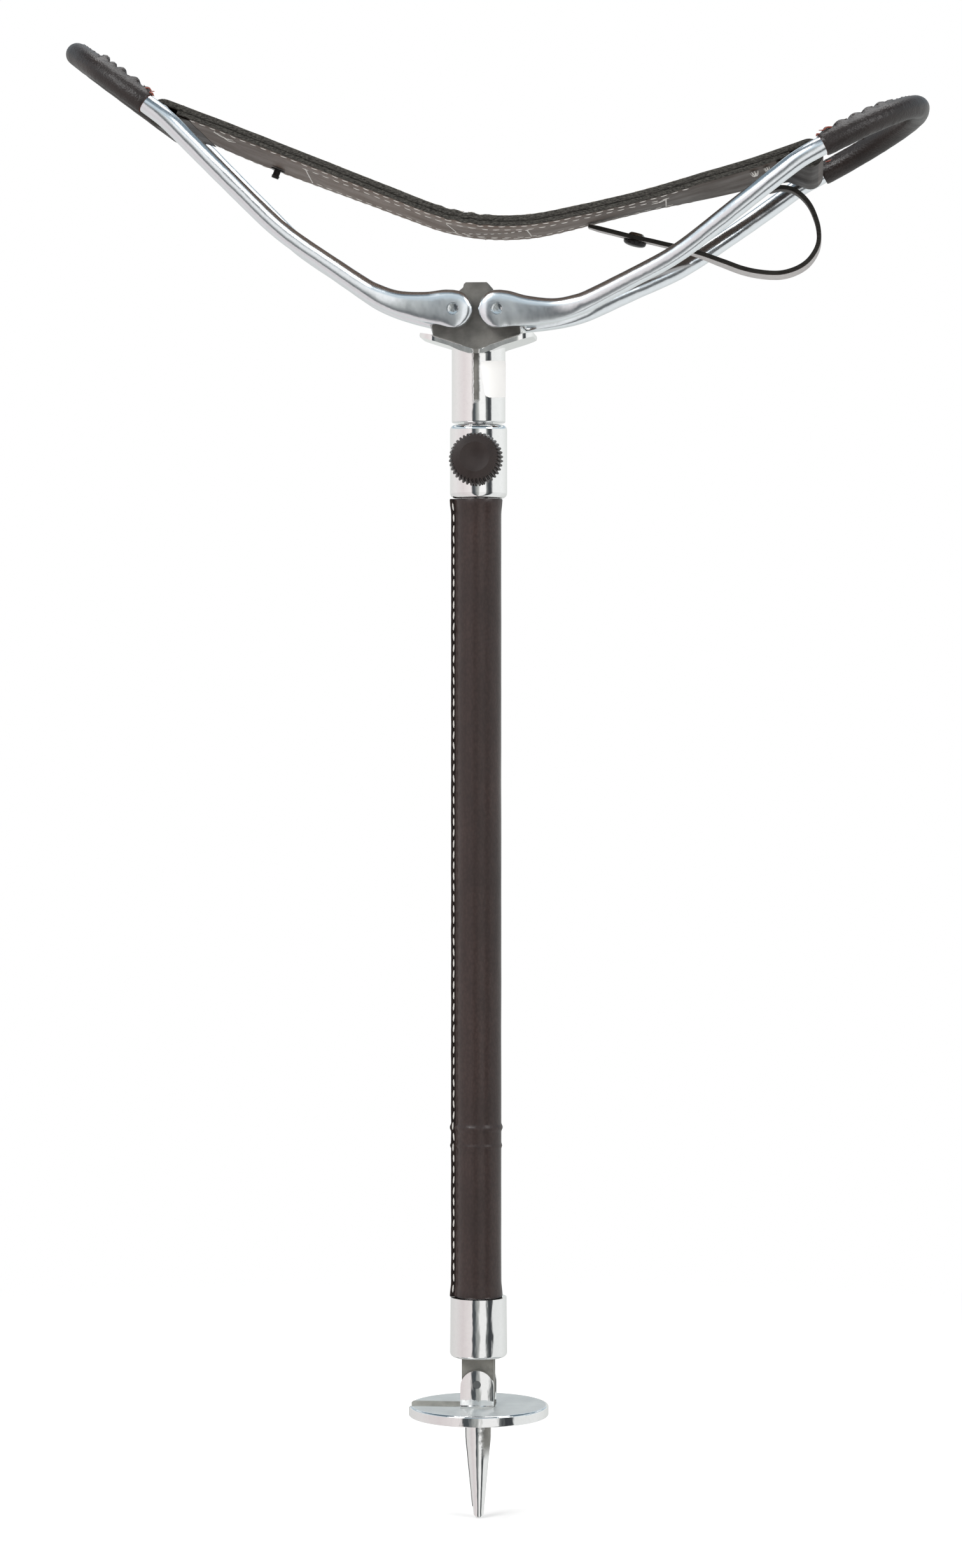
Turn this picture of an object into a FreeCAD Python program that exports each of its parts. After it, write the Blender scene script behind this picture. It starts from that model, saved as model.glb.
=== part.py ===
# Walking stick with a folding sling seat
# Millimetres, +Z up. The origin is the centre of the ground plate's underside, on the stick's axis.
# The knob side is -Y. The two seat arms open towards -X and +X.
import FreeCAD, Part
import Sketcher
import math
import os

doc = FreeCAD.newDocument("walking_stick_seat")
sheet = doc.addObject("Spreadsheet::Sheet", "Sizes")
vec = FreeCAD.Vector

# Driving sizes: alias, value, what it is
SIZES = [
    ("spike_length", 56.0, "spike below the ground plate"),
    ("spike_top_radius", 6.9, "spike where it leaves the plate"),
    ("spike_mid_radius", 6.75, "spike where its taper begins"),
    ("spike_mid_depth", 12.0, "depth at which the spike's taper begins"),
    ("spike_tip_radius", 2.6, "spike just above its rounded tip"),
    ("tang_wide", 17.4, "cast tang, along X"),
    ("tang_deep", 14.0, "cast tang, along Y"),
    ("tang_shoulder", 12.0, "height where the tang starts to narrow"),
    ("ferrule_bottom", 32.5, "underside of the ferrule cup"),
    ("ferrule_top", 65.3, "mouth of the ferrule cup"),
    ("ferrule_low_radius", 15.75, "ferrule at its bottom"),
    ("ferrule_high_radius", 15.4, "ferrule at its mouth"),
    ("ferrule_floor", 42.0, "height of the tube's end inside the ferrule"),
    ("plate_radius", 38.5, "ground plate"),
    ("plate_thick", 6.0, "ground plate"),
    ("slot_wide", 15.2, "slot in the plate for the spike"),
    ("hub_radius", 11.0, "round opening about the tang"),
    ("ear_wide", 18.2, "ear on the plate, along X"),
    ("ear_crown", 17.3, "centre of an ear's rounded top"),
    ("ear_thick", 4.6, "ear on the plate, along Y"),
    ("ear_inner", 7.5, "inner face of each ear from the middle plane"),
    ("plate_pivot", 18.8, "height of the plate's pin"),
    ("plate_pin_radius", 2.15, "plate's pin"),
    ("tube_radius", 11.0, "outer tube, outside"),
    ("tube_bore", 9.2, "outer tube, inside"),
    ("tube_top", 541.5, "top of the outer tube"),
    ("sleeve_radius", 12.5, "leather sleeve, outside"),
    ("sleeve_bottom", 65.6, "lower end of the leather sleeve"),
    ("sleeve_top", 503.9, "upper end of the leather sleeve"),
    ("sleeve_flare", 0.7, "the sleeve stands out by this at its ends"),
    ("seam_high", 2.7, "sewn seam of the sleeve, above its surface"),
    ("seam_thick", 3.0, "two leather edges of the seam"),
    ("collar_bottom", 504.2, "clamp collar"),
    ("collar_top", 544.7, "clamp collar"),
    ("collar_radius", 15.7, "clamp collar"),
    ("collar_round", 3.0, "rounding of the collar's edges"),
    ("collar_lip", 3.0, "inward lip over the tube's end"),
    ("bush_bottom", 498.0, "guide bush in the tube's mouth"),
    ("knob_height", 525.0, "knob's axis at the collar's face"),
    ("knob_tilt", 5.0, "knob's axis tips up by this angle"),
    ("insert_radius", 6.0, "threaded insert, outside"),
    ("screw_radius", 4.0, "clamp screw"),
    ("knob_base_radius", 14.9, "knob at the collar, over its teeth"),
    ("knob_face_radius", 12.8, "knob at its face"),
    ("knob_thick", 11.0, "knob"),
    ("knob_teeth", 38, "coarse teeth round the knob"),
    ("inner_radius", 8.0, "inner tube, outside"),
    ("inner_bore", 6.4, "inner tube, inside"),
    ("inner_bottom", 330.0, "lower end of the inner tube"),
    ("socket_bottom", 545.7, "lower face of the head's socket"),
    ("socket_radius", 14.75, "head's socket, outside"),
    ("socket_floor", 580.0, "the inner tube's end in the socket"),
    ("socket_shoulder", 586.0, "where the socket spreads into the wings"),
    ("wing_span", 62.0, "over both stop wings"),
    ("wing_rise", 594.4, "upper edge of the wings at their tips"),
    ("wing_thick", 2.4, "stop wing"),
    ("block_deep", 32.0, "block between the hubs, along Y"),
    ("head_top", 621.8, "top of the block"),
    ("pivot_x", 12.0, "arm pins from the middle plane"),
    ("pivot_z", 606.6, "height of the arm pins"),
    ("arm_pin_radius", 3.3, "arm pins"),
    ("arm_hub_radius", 10.5, "hub at the inner end of each leg"),
    ("arm_hub_inner", 16.3, "inner face of a hub from the middle plane"),
    ("arm_hub_outer", 26.0, "outer face of a hub from the middle plane"),
    ("rod_radius", 5.1, "round rod of the arm casting"),
    ("arm_reach", 253.0, "pin to the middle of the outer bend's rod"),
    ("leg_half_gap", 68.0, "rod centres at the grip, from the middle plane"),
    ("bend_radius", 62.0, "corner bends of the loop"),
    ("left_raise", 34.3, "left arm above the horizontal"),
    ("right_raise", 25.45, "right arm above the horizontal"),
    ("crossbar_out", 187.0, "pin to crossbar, along the arm"),
    ("crossbar_drop", 1.0, "crossbar below the arm's straight line"),
    ("crossbar_radius", 4.2, "crossbar under the leather"),
    ("spigot_radius", 2.6, "turned ends of the crossbar"),
    ("grip_radius", 6.2, "leather grip, outside"),
    ("grip_start", 194.5, "inner end of a grip, along the arm"),
    ("seat_width", 108.0, "sling seat, along Y"),
    ("leather_thick", 3.2, "each layer of the seat"),
    ("strap_wide", 13.0, "closing strap, along Y"),
    ("strap_thick", 2.5, "closing strap"),
    ("strap_y", 26.0, "middle of the strap, behind the middle plane"),
    ("stud_x", -112.5, "snap stud under the left half of the seat"),
]

size = {}
for row, (alias, value, meaning) in enumerate(SIZES, start=1):
    sheet.set("A%d" % row, alias)
    sheet.set("B%d" % row, repr(value))
    sheet.set("C%d" % row, meaning)
    sheet.setAlias("B%d" % row, alias)
    size[alias] = value
doc.recompute()

RUNNING_FIT = 0.06
BETWEEN_BODIES = 0.3
kept = []


# Small helpers

def bind(item, **expressions):
    for name, text in expressions.items():
        item.setExpression(name.replace("__", "."), text)


def keep(item, label):
    """Mark an object as one of the pieces that is written out."""
    item.Label = label
    kept.append(item)
    return item


def plane(body, role):
    for feature in body.Origin.OriginFeatures:
        if feature.Role == role:
            return feature
    raise ValueError(role)


def add_sketch(body, role, name, lift=None):
    sketch = body.newObject("Sketcher::SketchObject", name)
    sketch.AttachmentSupport = [(plane(body, role), "")]
    sketch.MapMode = "FlatFace"
    if lift:
        sketch.setExpression("AttachmentOffset.Base.z", lift)
    return sketch


def circle(sketch, radius):
    """A circle about the sketch's origin, its radius bound to a cell."""
    edge = sketch.addGeometry(Part.Circle(vec(0, 0, 0), vec(0, 0, 1), 5.0), False)
    sketch.addConstraint(Sketcher.Constraint("Coincident", edge, 3, -1, 1))
    number = sketch.addConstraint(Sketcher.Constraint("Radius", edge, 5.0))
    sketch.setExpression("Constraints[%d]" % number, radius)


def ring(name, outer, inner, low, high):
    """A tube or disc about Z, between two heights. Sizes are expressions; inner may be None."""
    body = doc.addObject("PartDesign::Body", name + "_body")
    sketch = add_sketch(body, "XY_Plane", name + "_section", low)
    circle(sketch, outer)
    if inner:
        circle(sketch, inner)
    pad = body.newObject("PartDesign::Pad", name + "_pad")
    pad.Profile = sketch
    bind(pad, Length="(%s) - (%s)" % (high, low))
    return body


def turned(name, corners):
    """A solid of revolution about Z. Each corner is a pair of expressions: radius, height."""
    body = doc.addObject("PartDesign::Body", name + "_body")
    sketch = add_sketch(body, "XZ_Plane", name + "_profile")
    draft = [vec(sheet_value(x), sheet_value(z), 0) for x, z in corners]
    count = len(draft)
    for number in range(count):
        sketch.addGeometry(Part.LineSegment(draft[number], draft[(number + 1) % count]), False)
    for number in range(count):
        sketch.addConstraint(Sketcher.Constraint("Coincident", number, 2, (number + 1) % count, 1))
    for number, (x, z) in enumerate(corners):
        if draft[number].x == 0:
            sketch.addConstraint(Sketcher.Constraint("PointOnObject", number, 1, -2))
        else:
            across = sketch.addConstraint(
                Sketcher.Constraint("DistanceX", -1, 1, number, 1, draft[number].x))
            sketch.setExpression("Constraints[%d]" % across, x)
        if draft[number].y == 0:
            sketch.addConstraint(Sketcher.Constraint("PointOnObject", number, 1, -1))
        else:
            up = sketch.addConstraint(
                Sketcher.Constraint("DistanceY", -1, 1, number, 1, draft[number].y))
            sketch.setExpression("Constraints[%d]" % up, z)
    spin = body.newObject("PartDesign::Revolution", name + "_turned")
    spin.Profile = sketch
    spin.ReferenceAxis = (sketch, ["V_Axis"])
    spin.Angle = 360.0
    return body


def sheet_value(expression):
    """The number that an expression on the sheet gives."""
    probe = doc.getObject("Probe") or doc.addObject("App::FeaturePython", "Probe")
    if not hasattr(probe, "Number"):
        probe.addProperty("App::PropertyFloat", "Number")
    probe.setExpression("Number", expression)
    probe.recompute()
    number = round(probe.Number, 9)
    probe.setExpression("Number", None)
    return number


def rounded(body, name, radius, places):
    """Round the circular edges of a turned body that lie at the given (radius, height) places."""
    doc.recompute()
    names = []
    for number, edge in enumerate(body.Tip.Shape.Edges, start=1):
        if not isinstance(edge.Curve, Part.Circle):
            continue
        for wanted_radius, height in places:
            same_height = abs(edge.Curve.Center.z - height) < 0.01
            if same_height and abs(edge.Curve.Radius - wanted_radius) < 0.01:
                names.append("Edge%d" % number)
    if len(names) != len(places):
        raise ValueError("%s: %d edges found for %d places" % (name, len(names), len(places)))
    sharp = body.Tip
    fillet = body.newObject("PartDesign::Fillet", name)
    fillet.Base = (sharp, names)
    fillet.Radius = radius
    return fillet


def cylinder(name, radius, height, base, axis=vec(0, 0, 1)):
    """A cylinder whose radius and height are expressions, from a base point along an axis."""
    item = doc.addObject("Part::Cylinder", name)
    bind(item, Radius=radius, Height=height)
    item.Placement = FreeCAD.Placement(base, FreeCAD.Rotation(vec(0, 0, 1), axis))
    return item


def box(name, length, width, height, low):
    """A box whose sides are expressions, centred on Y=0 and on X=low.x, standing on low.z."""
    item = doc.addObject("Part::Box", name)
    bind(item, Length=length, Width=width, Height=height)
    doc.recompute()
    item.Placement.Base = vec(low.x - item.Length.Value / 2, low.y - item.Width.Value / 2, low.z)
    return item


def fuse(name, items):
    item = doc.addObject("Part::MultiFuse", name)
    item.Shapes = items
    return item


def cut(name, base, tool):
    item = doc.addObject("Part::Cut", name)
    item.Base = base
    item.Tool = tool
    return item


def common(name, base, tool):
    item = doc.addObject("Part::Common", name)
    item.Base = base
    item.Tool = tool
    return item


def solid(name, shape, placement=None):
    """A piece whose shape is worked out from the sheet's sizes."""
    item = doc.addObject("Part::Feature", name)
    item.Shape = shape
    if placement:
        item.Placement = placement
    return item


# Paths made of straight runs and tangent arcs

def route(points, radii):
    """A wire through the points, each inner corner rounded by its radius."""
    edges = []
    start = points[0]
    for before, corner, after, radius in zip(points, points[1:], points[2:], radii):
        way_in = (corner - before).normalize()
        way_out = (after - corner).normalize()
        half = way_in.getAngle(way_out) / 2
        leg = radius * math.tan(half)
        arc_start = corner - way_in * leg
        arc_end = corner + way_out * leg
        inward = (way_out - way_in).normalize()
        arc_middle = corner + inward * (radius / math.cos(half) - radius)
        if (arc_start - start).dot(way_in) < -1e-6:
            raise ValueError("a bend is too large for its runs")
        if (arc_start - start).Length > 1e-6:
            edges.append(Part.makeLine(start, arc_start))
        edges.append(Part.Arc(arc_start, arc_middle, arc_end).toShape())
        start = arc_end
    if (points[-1] - start).Length > 1e-6:
        edges.append(Part.makeLine(start, points[-1]))
    return Part.Wire(edges)


def shifted(points, radii, distance):
    """Move a path in the XZ plane sideways, upwards for a positive distance."""
    ways = [(b - a).normalize() for a, b in zip(points, points[1:])]
    normals = [vec(-way.z, 0, way.x) for way in ways]
    moved = [points[0] + normals[0] * distance]
    new_radii = []
    for corner, first, second, way, radius in zip(points[1:-1], normals, normals[1:], ways, radii):
        middle = (first + second).normalize()
        moved.append(corner + middle * (distance / middle.dot(first)))
        turns_up = second.dot(way) < 0
        new_radii.append(radius - distance if turns_up else radius + distance)
    moved.append(points[-1] + normals[-1] * distance)
    return moved, new_radii


def tube_along(wire, radius, bore=None):
    """A round rod, or a tube, along a wire."""
    first = wire.OrderedEdges[0]
    start = first.valueAt(first.FirstParameter)
    way = first.tangentAt(first.FirstParameter)
    solids = []
    for one in (radius, bore):
        if one is None:
            continue
        rim = Part.Wire(Part.makeCircle(one, start, way))
        solids.append(wire.makePipeShell([rim], True, False))
    return solids[0] if bore is None else solids[0].cut(solids[1])


def strip_along(wire, thick, low_y, high_y):
    """A flat strip along a wire in the XZ plane, from one Y to another."""
    first = wire.OrderedEdges[0]
    start = first.valueAt(first.FirstParameter)
    way = first.tangentAt(first.FirstParameter)
    across = vec(-way.z, 0, way.x) * (thick / 2)
    low = vec(start.x, low_y, start.z)
    high = vec(start.x, high_y, start.z)
    corners = [low - across, high - across, high + across, low + across]
    section = Part.makePolygon(corners + corners[:1])
    return wire.makePipeShell([section], True, False)


# Foot: ferrule, tang and spike in one casting

spike_core = turned("spike_core", [
    ("0", "-Sizes.spike_length"),
    ("Sizes.spike_tip_radius", "-Sizes.spike_length"),
    ("Sizes.spike_mid_radius", "-Sizes.spike_mid_depth"),
    ("Sizes.spike_top_radius", "5"),
    ("Sizes.tang_wide * 0.67", "Sizes.tang_shoulder"),
    ("Sizes.tang_wide * 0.67", "Sizes.ferrule_bottom + 2"),
    ("0", "Sizes.ferrule_bottom + 2"),
])
rounded(spike_core, "spike_tip", 2.2, [(size["spike_tip_radius"], -size["spike_length"])])
tang_block = box("tang_block", "Sizes.tang_wide", "Sizes.tang_deep", "Sizes.spike_length + 40",
                 vec(0, 0, -size["spike_length"] - 1))
tang = common("tang", spike_core, tang_block)

ferrule_cup = turned("ferrule_cup", [
    ("0", "Sizes.ferrule_bottom"),
    ("Sizes.ferrule_low_radius", "Sizes.ferrule_bottom"),
    ("Sizes.ferrule_high_radius", "Sizes.ferrule_top"),
    ("Sizes.tube_radius + 0.02", "Sizes.ferrule_top"),
    ("Sizes.tube_radius + 0.02", "Sizes.ferrule_floor"),
    ("0", "Sizes.ferrule_floor"),
])
rounded(ferrule_cup, "ferrule_edges", 2.4, [(size["ferrule_low_radius"], size["ferrule_bottom"])])

# The mould's parting line stands as a thin rib on the spike's left
RIB_HALF_THICK = 0.8
rib_outline = [
    vec(-size["spike_top_radius"] - 0.5, 0, 1.0),
    vec(-size["spike_mid_radius"] - 0.5, 0, -size["spike_mid_depth"]),
    vec(-size["spike_tip_radius"] - 0.9, 0, -size["spike_length"] + 6),
    vec(-size["spike_tip_radius"] + 0.8, 0, -size["spike_length"] + 6),
    vec(-size["spike_mid_radius"] + 2.0, 0, -size["spike_mid_depth"]),
    vec(-size["spike_top_radius"] + 2.0, 0, 1.0),
]
rib_face = Part.Face(Part.makePolygon(rib_outline + rib_outline[:1]))
rib_face.translate(vec(0, -RIB_HALF_THICK, 0))
rib = solid("parting_rib", rib_face.extrude(vec(0, 2 * RIB_HALF_THICK, 0)))

PIN_HOLE_LONG = 40.0
foot_raw = fuse("foot_raw", [tang, ferrule_cup, rib])
foot_pin_hole = cylinder("foot_pin_hole", "Sizes.plate_pin_radius", "%g" % PIN_HOLE_LONG,
                         vec(0, -PIN_HOLE_LONG / 2, size["plate_pivot"]), vec(0, 1, 0))
FERRULE_PIN_Z = 53.0
FERRULE_PIN_RADIUS = 1.6
ferrule_pin_hole = cylinder("ferrule_pin_hole", "%g" % FERRULE_PIN_RADIUS, "8",
                            vec(0, size["tube_bore"], FERRULE_PIN_Z), vec(0, 1, 0))
foot_holes = fuse("foot_holes", [foot_pin_hole, ferrule_pin_hole])
keep(cut("foot", foot_raw, foot_holes), "foot_casting")

# Ground plate: disc, hub opening, slot open at the left edge, and two ears

disc = turned("plate_disc", [
    ("0", "0"),
    ("Sizes.plate_radius", "0"),
    ("Sizes.plate_radius", "Sizes.plate_thick"),
    ("0", "Sizes.plate_thick"),
])
rounded(disc, "plate_rim", 1.2, [
    (size["plate_radius"], 0.0),
    (size["plate_radius"], size["plate_thick"]),
])
hub_opening = cylinder("hub_opening", "Sizes.hub_radius - 1.6", "Sizes.plate_thick + 4", vec(0, 0, -2))
slot = box("spike_slot", "Sizes.plate_radius + 4", "Sizes.slot_wide", "Sizes.plate_thick + 4",
           vec(-(size["plate_radius"] + 4) / 2, 0, -2))
ears = []
for side, name in ((-1, "front"), (1, "back")):
    ear_middle = side * (size["ear_inner"] + size["ear_thick"] / 2)
    ear_low = size["plate_thick"] - 1.0
    upright = box("ear_%s_upright" % name, "Sizes.ear_wide", "Sizes.ear_thick",
                  "Sizes.ear_crown - Sizes.plate_thick + 1", vec(0, ear_middle, ear_low))
    crown = cylinder("ear_%s_crown" % name, "Sizes.ear_wide / 2", "Sizes.ear_thick",
                     vec(0, side * size["ear_inner"], size["ear_crown"]), vec(0, side, 0))
    ears += [upright, crown]
plate_raw = fuse("plate_raw", [disc] + ears)
plate_pin_way = cylinder("plate_pin_way", "Sizes.plate_pin_radius + %g" % RUNNING_FIT,
                         "%g" % PIN_HOLE_LONG,
                         vec(0, -PIN_HOLE_LONG / 2, size["plate_pivot"]), vec(0, 1, 0))
tang_way = box("tang_way", "Sizes.tang_wide + 1.2", "Sizes.ear_inner * 2", "40", vec(0, 0, -2))
plate_holes = fuse("plate_holes", [hub_opening, slot, plate_pin_way, tang_way])
keep(cut("plate", plate_raw, plate_holes), "ground_plate")

plate_pin_long = "(Sizes.ear_inner + Sizes.ear_thick) * 2 - 0.6"
plate_pin = cylinder("plate_pin", "Sizes.plate_pin_radius", plate_pin_long,
                     vec(0, -(size["ear_inner"] + size["ear_thick"] - 0.3), size["plate_pivot"]),
                     vec(0, 1, 0))
keep(plate_pin, "plate_pin")

# Outer tube with its pins, and the leather sleeve sewn round it

knob_way = vec(0, -math.cos(math.radians(size["knob_tilt"])), math.sin(math.radians(size["knob_tilt"])))
knob_seat = vec(0, -size["collar_radius"], size["knob_height"])
knob_centre = knob_seat - knob_way * size["collar_radius"]


def along_knob(distance):
    """A point on the knob's axis, measured outwards from the collar's face."""
    return knob_seat + knob_way * distance


tube_raw = ring("tube_raw", "Sizes.tube_radius", "Sizes.tube_bore", "Sizes.ferrule_floor + 0.05",
                "Sizes.tube_top")
tube_window = cylinder("tube_window", "Sizes.insert_radius", "30", along_knob(-13), knob_way)
tube_pin_hole = cylinder("tube_pin_hole", "%g" % FERRULE_PIN_RADIUS, "8",
                         vec(0, size["tube_bore"] - 2, FERRULE_PIN_Z), vec(0, 1, 0))
COLLAR_PIN_Z = 513.0
collar_pin_hole = cylinder("tube_collar_pin_hole", "%g" % FERRULE_PIN_RADIUS, "8",
                           vec(0, size["tube_bore"] - 2, COLLAR_PIN_Z), vec(0, 1, 0))
tube_holes = fuse("tube_holes", [tube_window, tube_pin_hole, collar_pin_hole])
keep(cut("outer_tube", tube_raw, tube_holes), "outer_tube")
for name, height, outside in (("ferrule_pin", FERRULE_PIN_Z, size["ferrule_high_radius"]),
                              ("collar_pin", COLLAR_PIN_Z, size["collar_radius"])):
    pin = cylinder(name, "%g" % FERRULE_PIN_RADIUS, "%g" % (outside - 0.4 - size["tube_bore"]),
                   vec(0, size["tube_bore"], height), vec(0, 1, 0))
    keep(pin, name)
keep(ring("tube_bottom_plug", "Sizes.tube_bore - 0.02", None, "Sizes.ferrule_floor + 0.05",
          "Sizes.ferrule_floor + 8"), "tube_bottom_plug")

FLARE_LONG = 9.0
sleeve_raw = turned("sleeve_raw", [
    ("Sizes.tube_radius + 0.02", "Sizes.sleeve_bottom"),
    ("Sizes.sleeve_radius + Sizes.sleeve_flare", "Sizes.sleeve_bottom"),
    ("Sizes.sleeve_radius", "Sizes.sleeve_bottom + %g" % FLARE_LONG),
    ("Sizes.sleeve_radius", "Sizes.sleeve_top - %g" % FLARE_LONG),
    ("Sizes.sleeve_radius + Sizes.sleeve_flare", "Sizes.sleeve_top"),
    ("Sizes.tube_radius + 0.02", "Sizes.sleeve_top"),
])
SEAM_TURN = 10.0
seam = doc.addObject("Part::Box", "sleeve_seam")
bind(seam, Length="Sizes.sleeve_radius + Sizes.seam_high - Sizes.tube_radius - 0.3",
     Width="Sizes.seam_thick", Height="Sizes.sleeve_top - Sizes.sleeve_bottom - 1.2")
seam_from = vec(-size["sleeve_radius"] - size["seam_high"], -size["seam_thick"] / 2, 0)
seam_rotation = FreeCAD.Rotation(vec(0, 0, 1), SEAM_TURN)
seam.Placement = FreeCAD.Placement(
    seam_rotation.multVec(seam_from) + vec(0, 0, size["sleeve_bottom"] + 0.6), seam_rotation)
CREASES = ((158.5, 0.8, 2.6), (148.5, 0.5, 1.8))
creases = []
for number, (height, proud, half_high) in enumerate(CREASES, start=1):
    creases.append(turned("sleeve_crease_%d" % number, [
        ("Sizes.sleeve_radius - 0.6", "%g" % (height - half_high)),
        ("Sizes.sleeve_radius + %g" % proud, "%g" % height),
        ("Sizes.sleeve_radius - 0.6", "%g" % (height + half_high)),
    ]))
keep(fuse("sleeve", [sleeve_raw, seam] + creases), "leather_sleeve")

# Clamp collar, its threaded insert, the guide bush and the screw's pad

collar_raw = turned("collar_raw", [
    ("Sizes.tube_radius + 0.02", "Sizes.collar_bottom"),
    ("Sizes.collar_radius", "Sizes.collar_bottom"),
    ("Sizes.collar_radius", "Sizes.collar_top"),
    ("Sizes.inner_radius + 0.5", "Sizes.collar_top"),
    ("Sizes.inner_radius + 0.5", "Sizes.collar_top - Sizes.collar_lip"),
    ("Sizes.tube_radius + 0.02", "Sizes.collar_top - Sizes.collar_lip"),
])
rounded(collar_raw, "collar_edges", size["collar_round"], [
    (size["collar_radius"], size["collar_bottom"]),
    (size["collar_radius"], size["collar_top"]),
])
collar_window = cylinder("collar_window", "Sizes.insert_radius", "30", along_knob(-13), knob_way)
collar_pin_way = cylinder("collar_pin_way", "%g" % FERRULE_PIN_RADIUS, "10",
                          vec(0, size["tube_bore"], COLLAR_PIN_Z), vec(0, 1, 0))
collar_holes = fuse("collar_holes", [collar_window, collar_pin_way])
keep(cut("collar", collar_raw, collar_holes), "clamp_collar")

INSERT_OUT = 0.9
INSERT_LONG = size["collar_radius"] + INSERT_OUT - size["tube_bore"] - 0.5
insert_raw = cylinder("insert_raw", "Sizes.insert_radius", "%g" % INSERT_LONG,
                      along_knob(INSERT_OUT - INSERT_LONG), knob_way)
insert_bore = cylinder("insert_bore", "Sizes.screw_radius + %g" % RUNNING_FIT, "40", along_knob(-20),
                       knob_way)
keep(cut("insert", insert_raw, insert_bore), "threaded_insert")

bush_raw = ring("bush_raw", "Sizes.tube_bore - 0.02", "Sizes.inner_radius + %g" % RUNNING_FIT,
                "Sizes.bush_bottom", "Sizes.tube_top")
PAD_RADIUS = 3.2
bush_window = cylinder("bush_window", "%g" % (PAD_RADIUS + 0.9), "30", along_knob(-13), knob_way)
keep(cut("bush", bush_raw, bush_window), "guide_bush")

# Clamp pad and knob: the screw pushes the pad against the inner tube

PAD_NEAR = size["inner_radius"] + 0.35
PAD_THICK = 1.6
pad_inner = PAD_NEAR / math.cos(math.radians(size["knob_tilt"])) + 0.35
pad = cylinder("pad", "%g" % PAD_RADIUS, "%g" % PAD_THICK, knob_centre + knob_way * pad_inner, knob_way)
keep(pad, "clamp_pad")

SCREW_GAP = 0.05
screw_start = pad_inner + PAD_THICK + SCREW_GAP
screw_end = size["collar_radius"] + 1.5 + size["knob_thick"] - 4.0
screw = cylinder("screw", "Sizes.screw_radius", "%g" % (screw_end - screw_start),
                 knob_centre + knob_way * screw_start, knob_way)
keep(screw, "clamp_screw")


def knob_shape():
    """A tapered knob about Z with coarse teeth, a dished face and a blind bore for the screw."""
    teeth = int(size["knob_teeth"])
    deep = 1.25
    thick = size["knob_thick"]
    wires = []
    for outer, height in ((size["knob_base_radius"], 0.0), (size["knob_face_radius"], thick)):
        corners = []
        for tooth in range(teeth):
            for part, radius in ((0.0, outer - deep), (0.3, outer), (0.62, outer), (0.9, outer - deep)):
                angle = 2 * math.pi * (tooth + part) / teeth
                corners.append(vec(radius * math.cos(angle), radius * math.sin(angle), height))
        wires.append(Part.makePolygon(corners + corners[:1]))
    blank = Part.makeLoft(wires, True, True)
    dome_radius = 60.0
    cap = Part.makeSphere(dome_radius, vec(0, 0, thick - dome_radius + 0.15))
    blank = blank.common(cap)
    dish = Part.makeSphere(48.0, vec(0, 0, thick + 48.0 - 1.1))
    bore = Part.makeCylinder(size["screw_radius"] + 0.02, thick - 3.9, vec(0, 0, -0.1))
    return blank.cut(dish).cut(bore)


knob_rotation = FreeCAD.Rotation(vec(0, 0, 1), knob_way)
KNOB_OFF_COLLAR = 1.7
knob = solid("knob", knob_shape(), FreeCAD.Placement(along_knob(KNOB_OFF_COLLAR), knob_rotation))
keep(knob, "knob")

# Inner tube that carries the head, with its guide ring at the lower end

inner_raw = ring("inner_raw", "Sizes.inner_radius", "Sizes.inner_bore", "Sizes.inner_bottom",
                 "Sizes.socket_floor - 0.05")
HEAD_PIN_Z = 556.0
HEAD_PIN_RADIUS = 2.0
inner_pin_hole = cylinder("inner_pin_hole", "%g" % HEAD_PIN_RADIUS, "40",
                          vec(0, -20, HEAD_PIN_Z), vec(0, 1, 0))
keep(cut("inner_tube", inner_raw, inner_pin_hole), "inner_tube")
GUIDE_LONG = 22.0
guide_raw = turned("guide_raw", [
    ("0", "Sizes.inner_bottom - 3"),
    ("Sizes.tube_bore - %g" % RUNNING_FIT, "Sizes.inner_bottom - 3"),
    ("Sizes.tube_bore - %g" % RUNNING_FIT, "Sizes.inner_bottom - 0.05"),
    ("Sizes.inner_bore - 0.02", "Sizes.inner_bottom - 0.05"),
    ("Sizes.inner_bore - 0.02", "Sizes.inner_bottom + %g" % GUIDE_LONG),
    ("0", "Sizes.inner_bottom + %g" % GUIDE_LONG),
])
keep(guide_raw, "inner_tube_foot")

# Head casting: socket, wings that stop the arms, and the block between the hubs

head_socket = turned("head_socket", [
    ("Sizes.inner_radius + 0.02", "Sizes.socket_bottom"),
    ("Sizes.socket_radius", "Sizes.socket_bottom"),
    ("Sizes.socket_radius", "Sizes.socket_shoulder + 2"),
    ("0", "Sizes.socket_shoulder + 2"),
    ("0", "Sizes.socket_floor"),
    ("Sizes.inner_radius + 0.02", "Sizes.socket_floor"),
])
rounded(head_socket, "socket_edge", 0.8, [(size["socket_radius"], size["socket_bottom"])])


def mirrored_outline(half):
    """An outline in the XZ plane from its right half, listed from the bottom up."""
    right = [vec(x, 0, z) for x, z in half]
    left = [vec(-point.x, 0, point.z) for point in reversed(right)]
    return Part.makePolygon(right + left + right[:1])


def prism(outline, half_deep):
    face = Part.Face(outline)
    face.translate(vec(0, -half_deep, 0))
    return face.extrude(vec(0, 2 * half_deep, 0))


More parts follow.
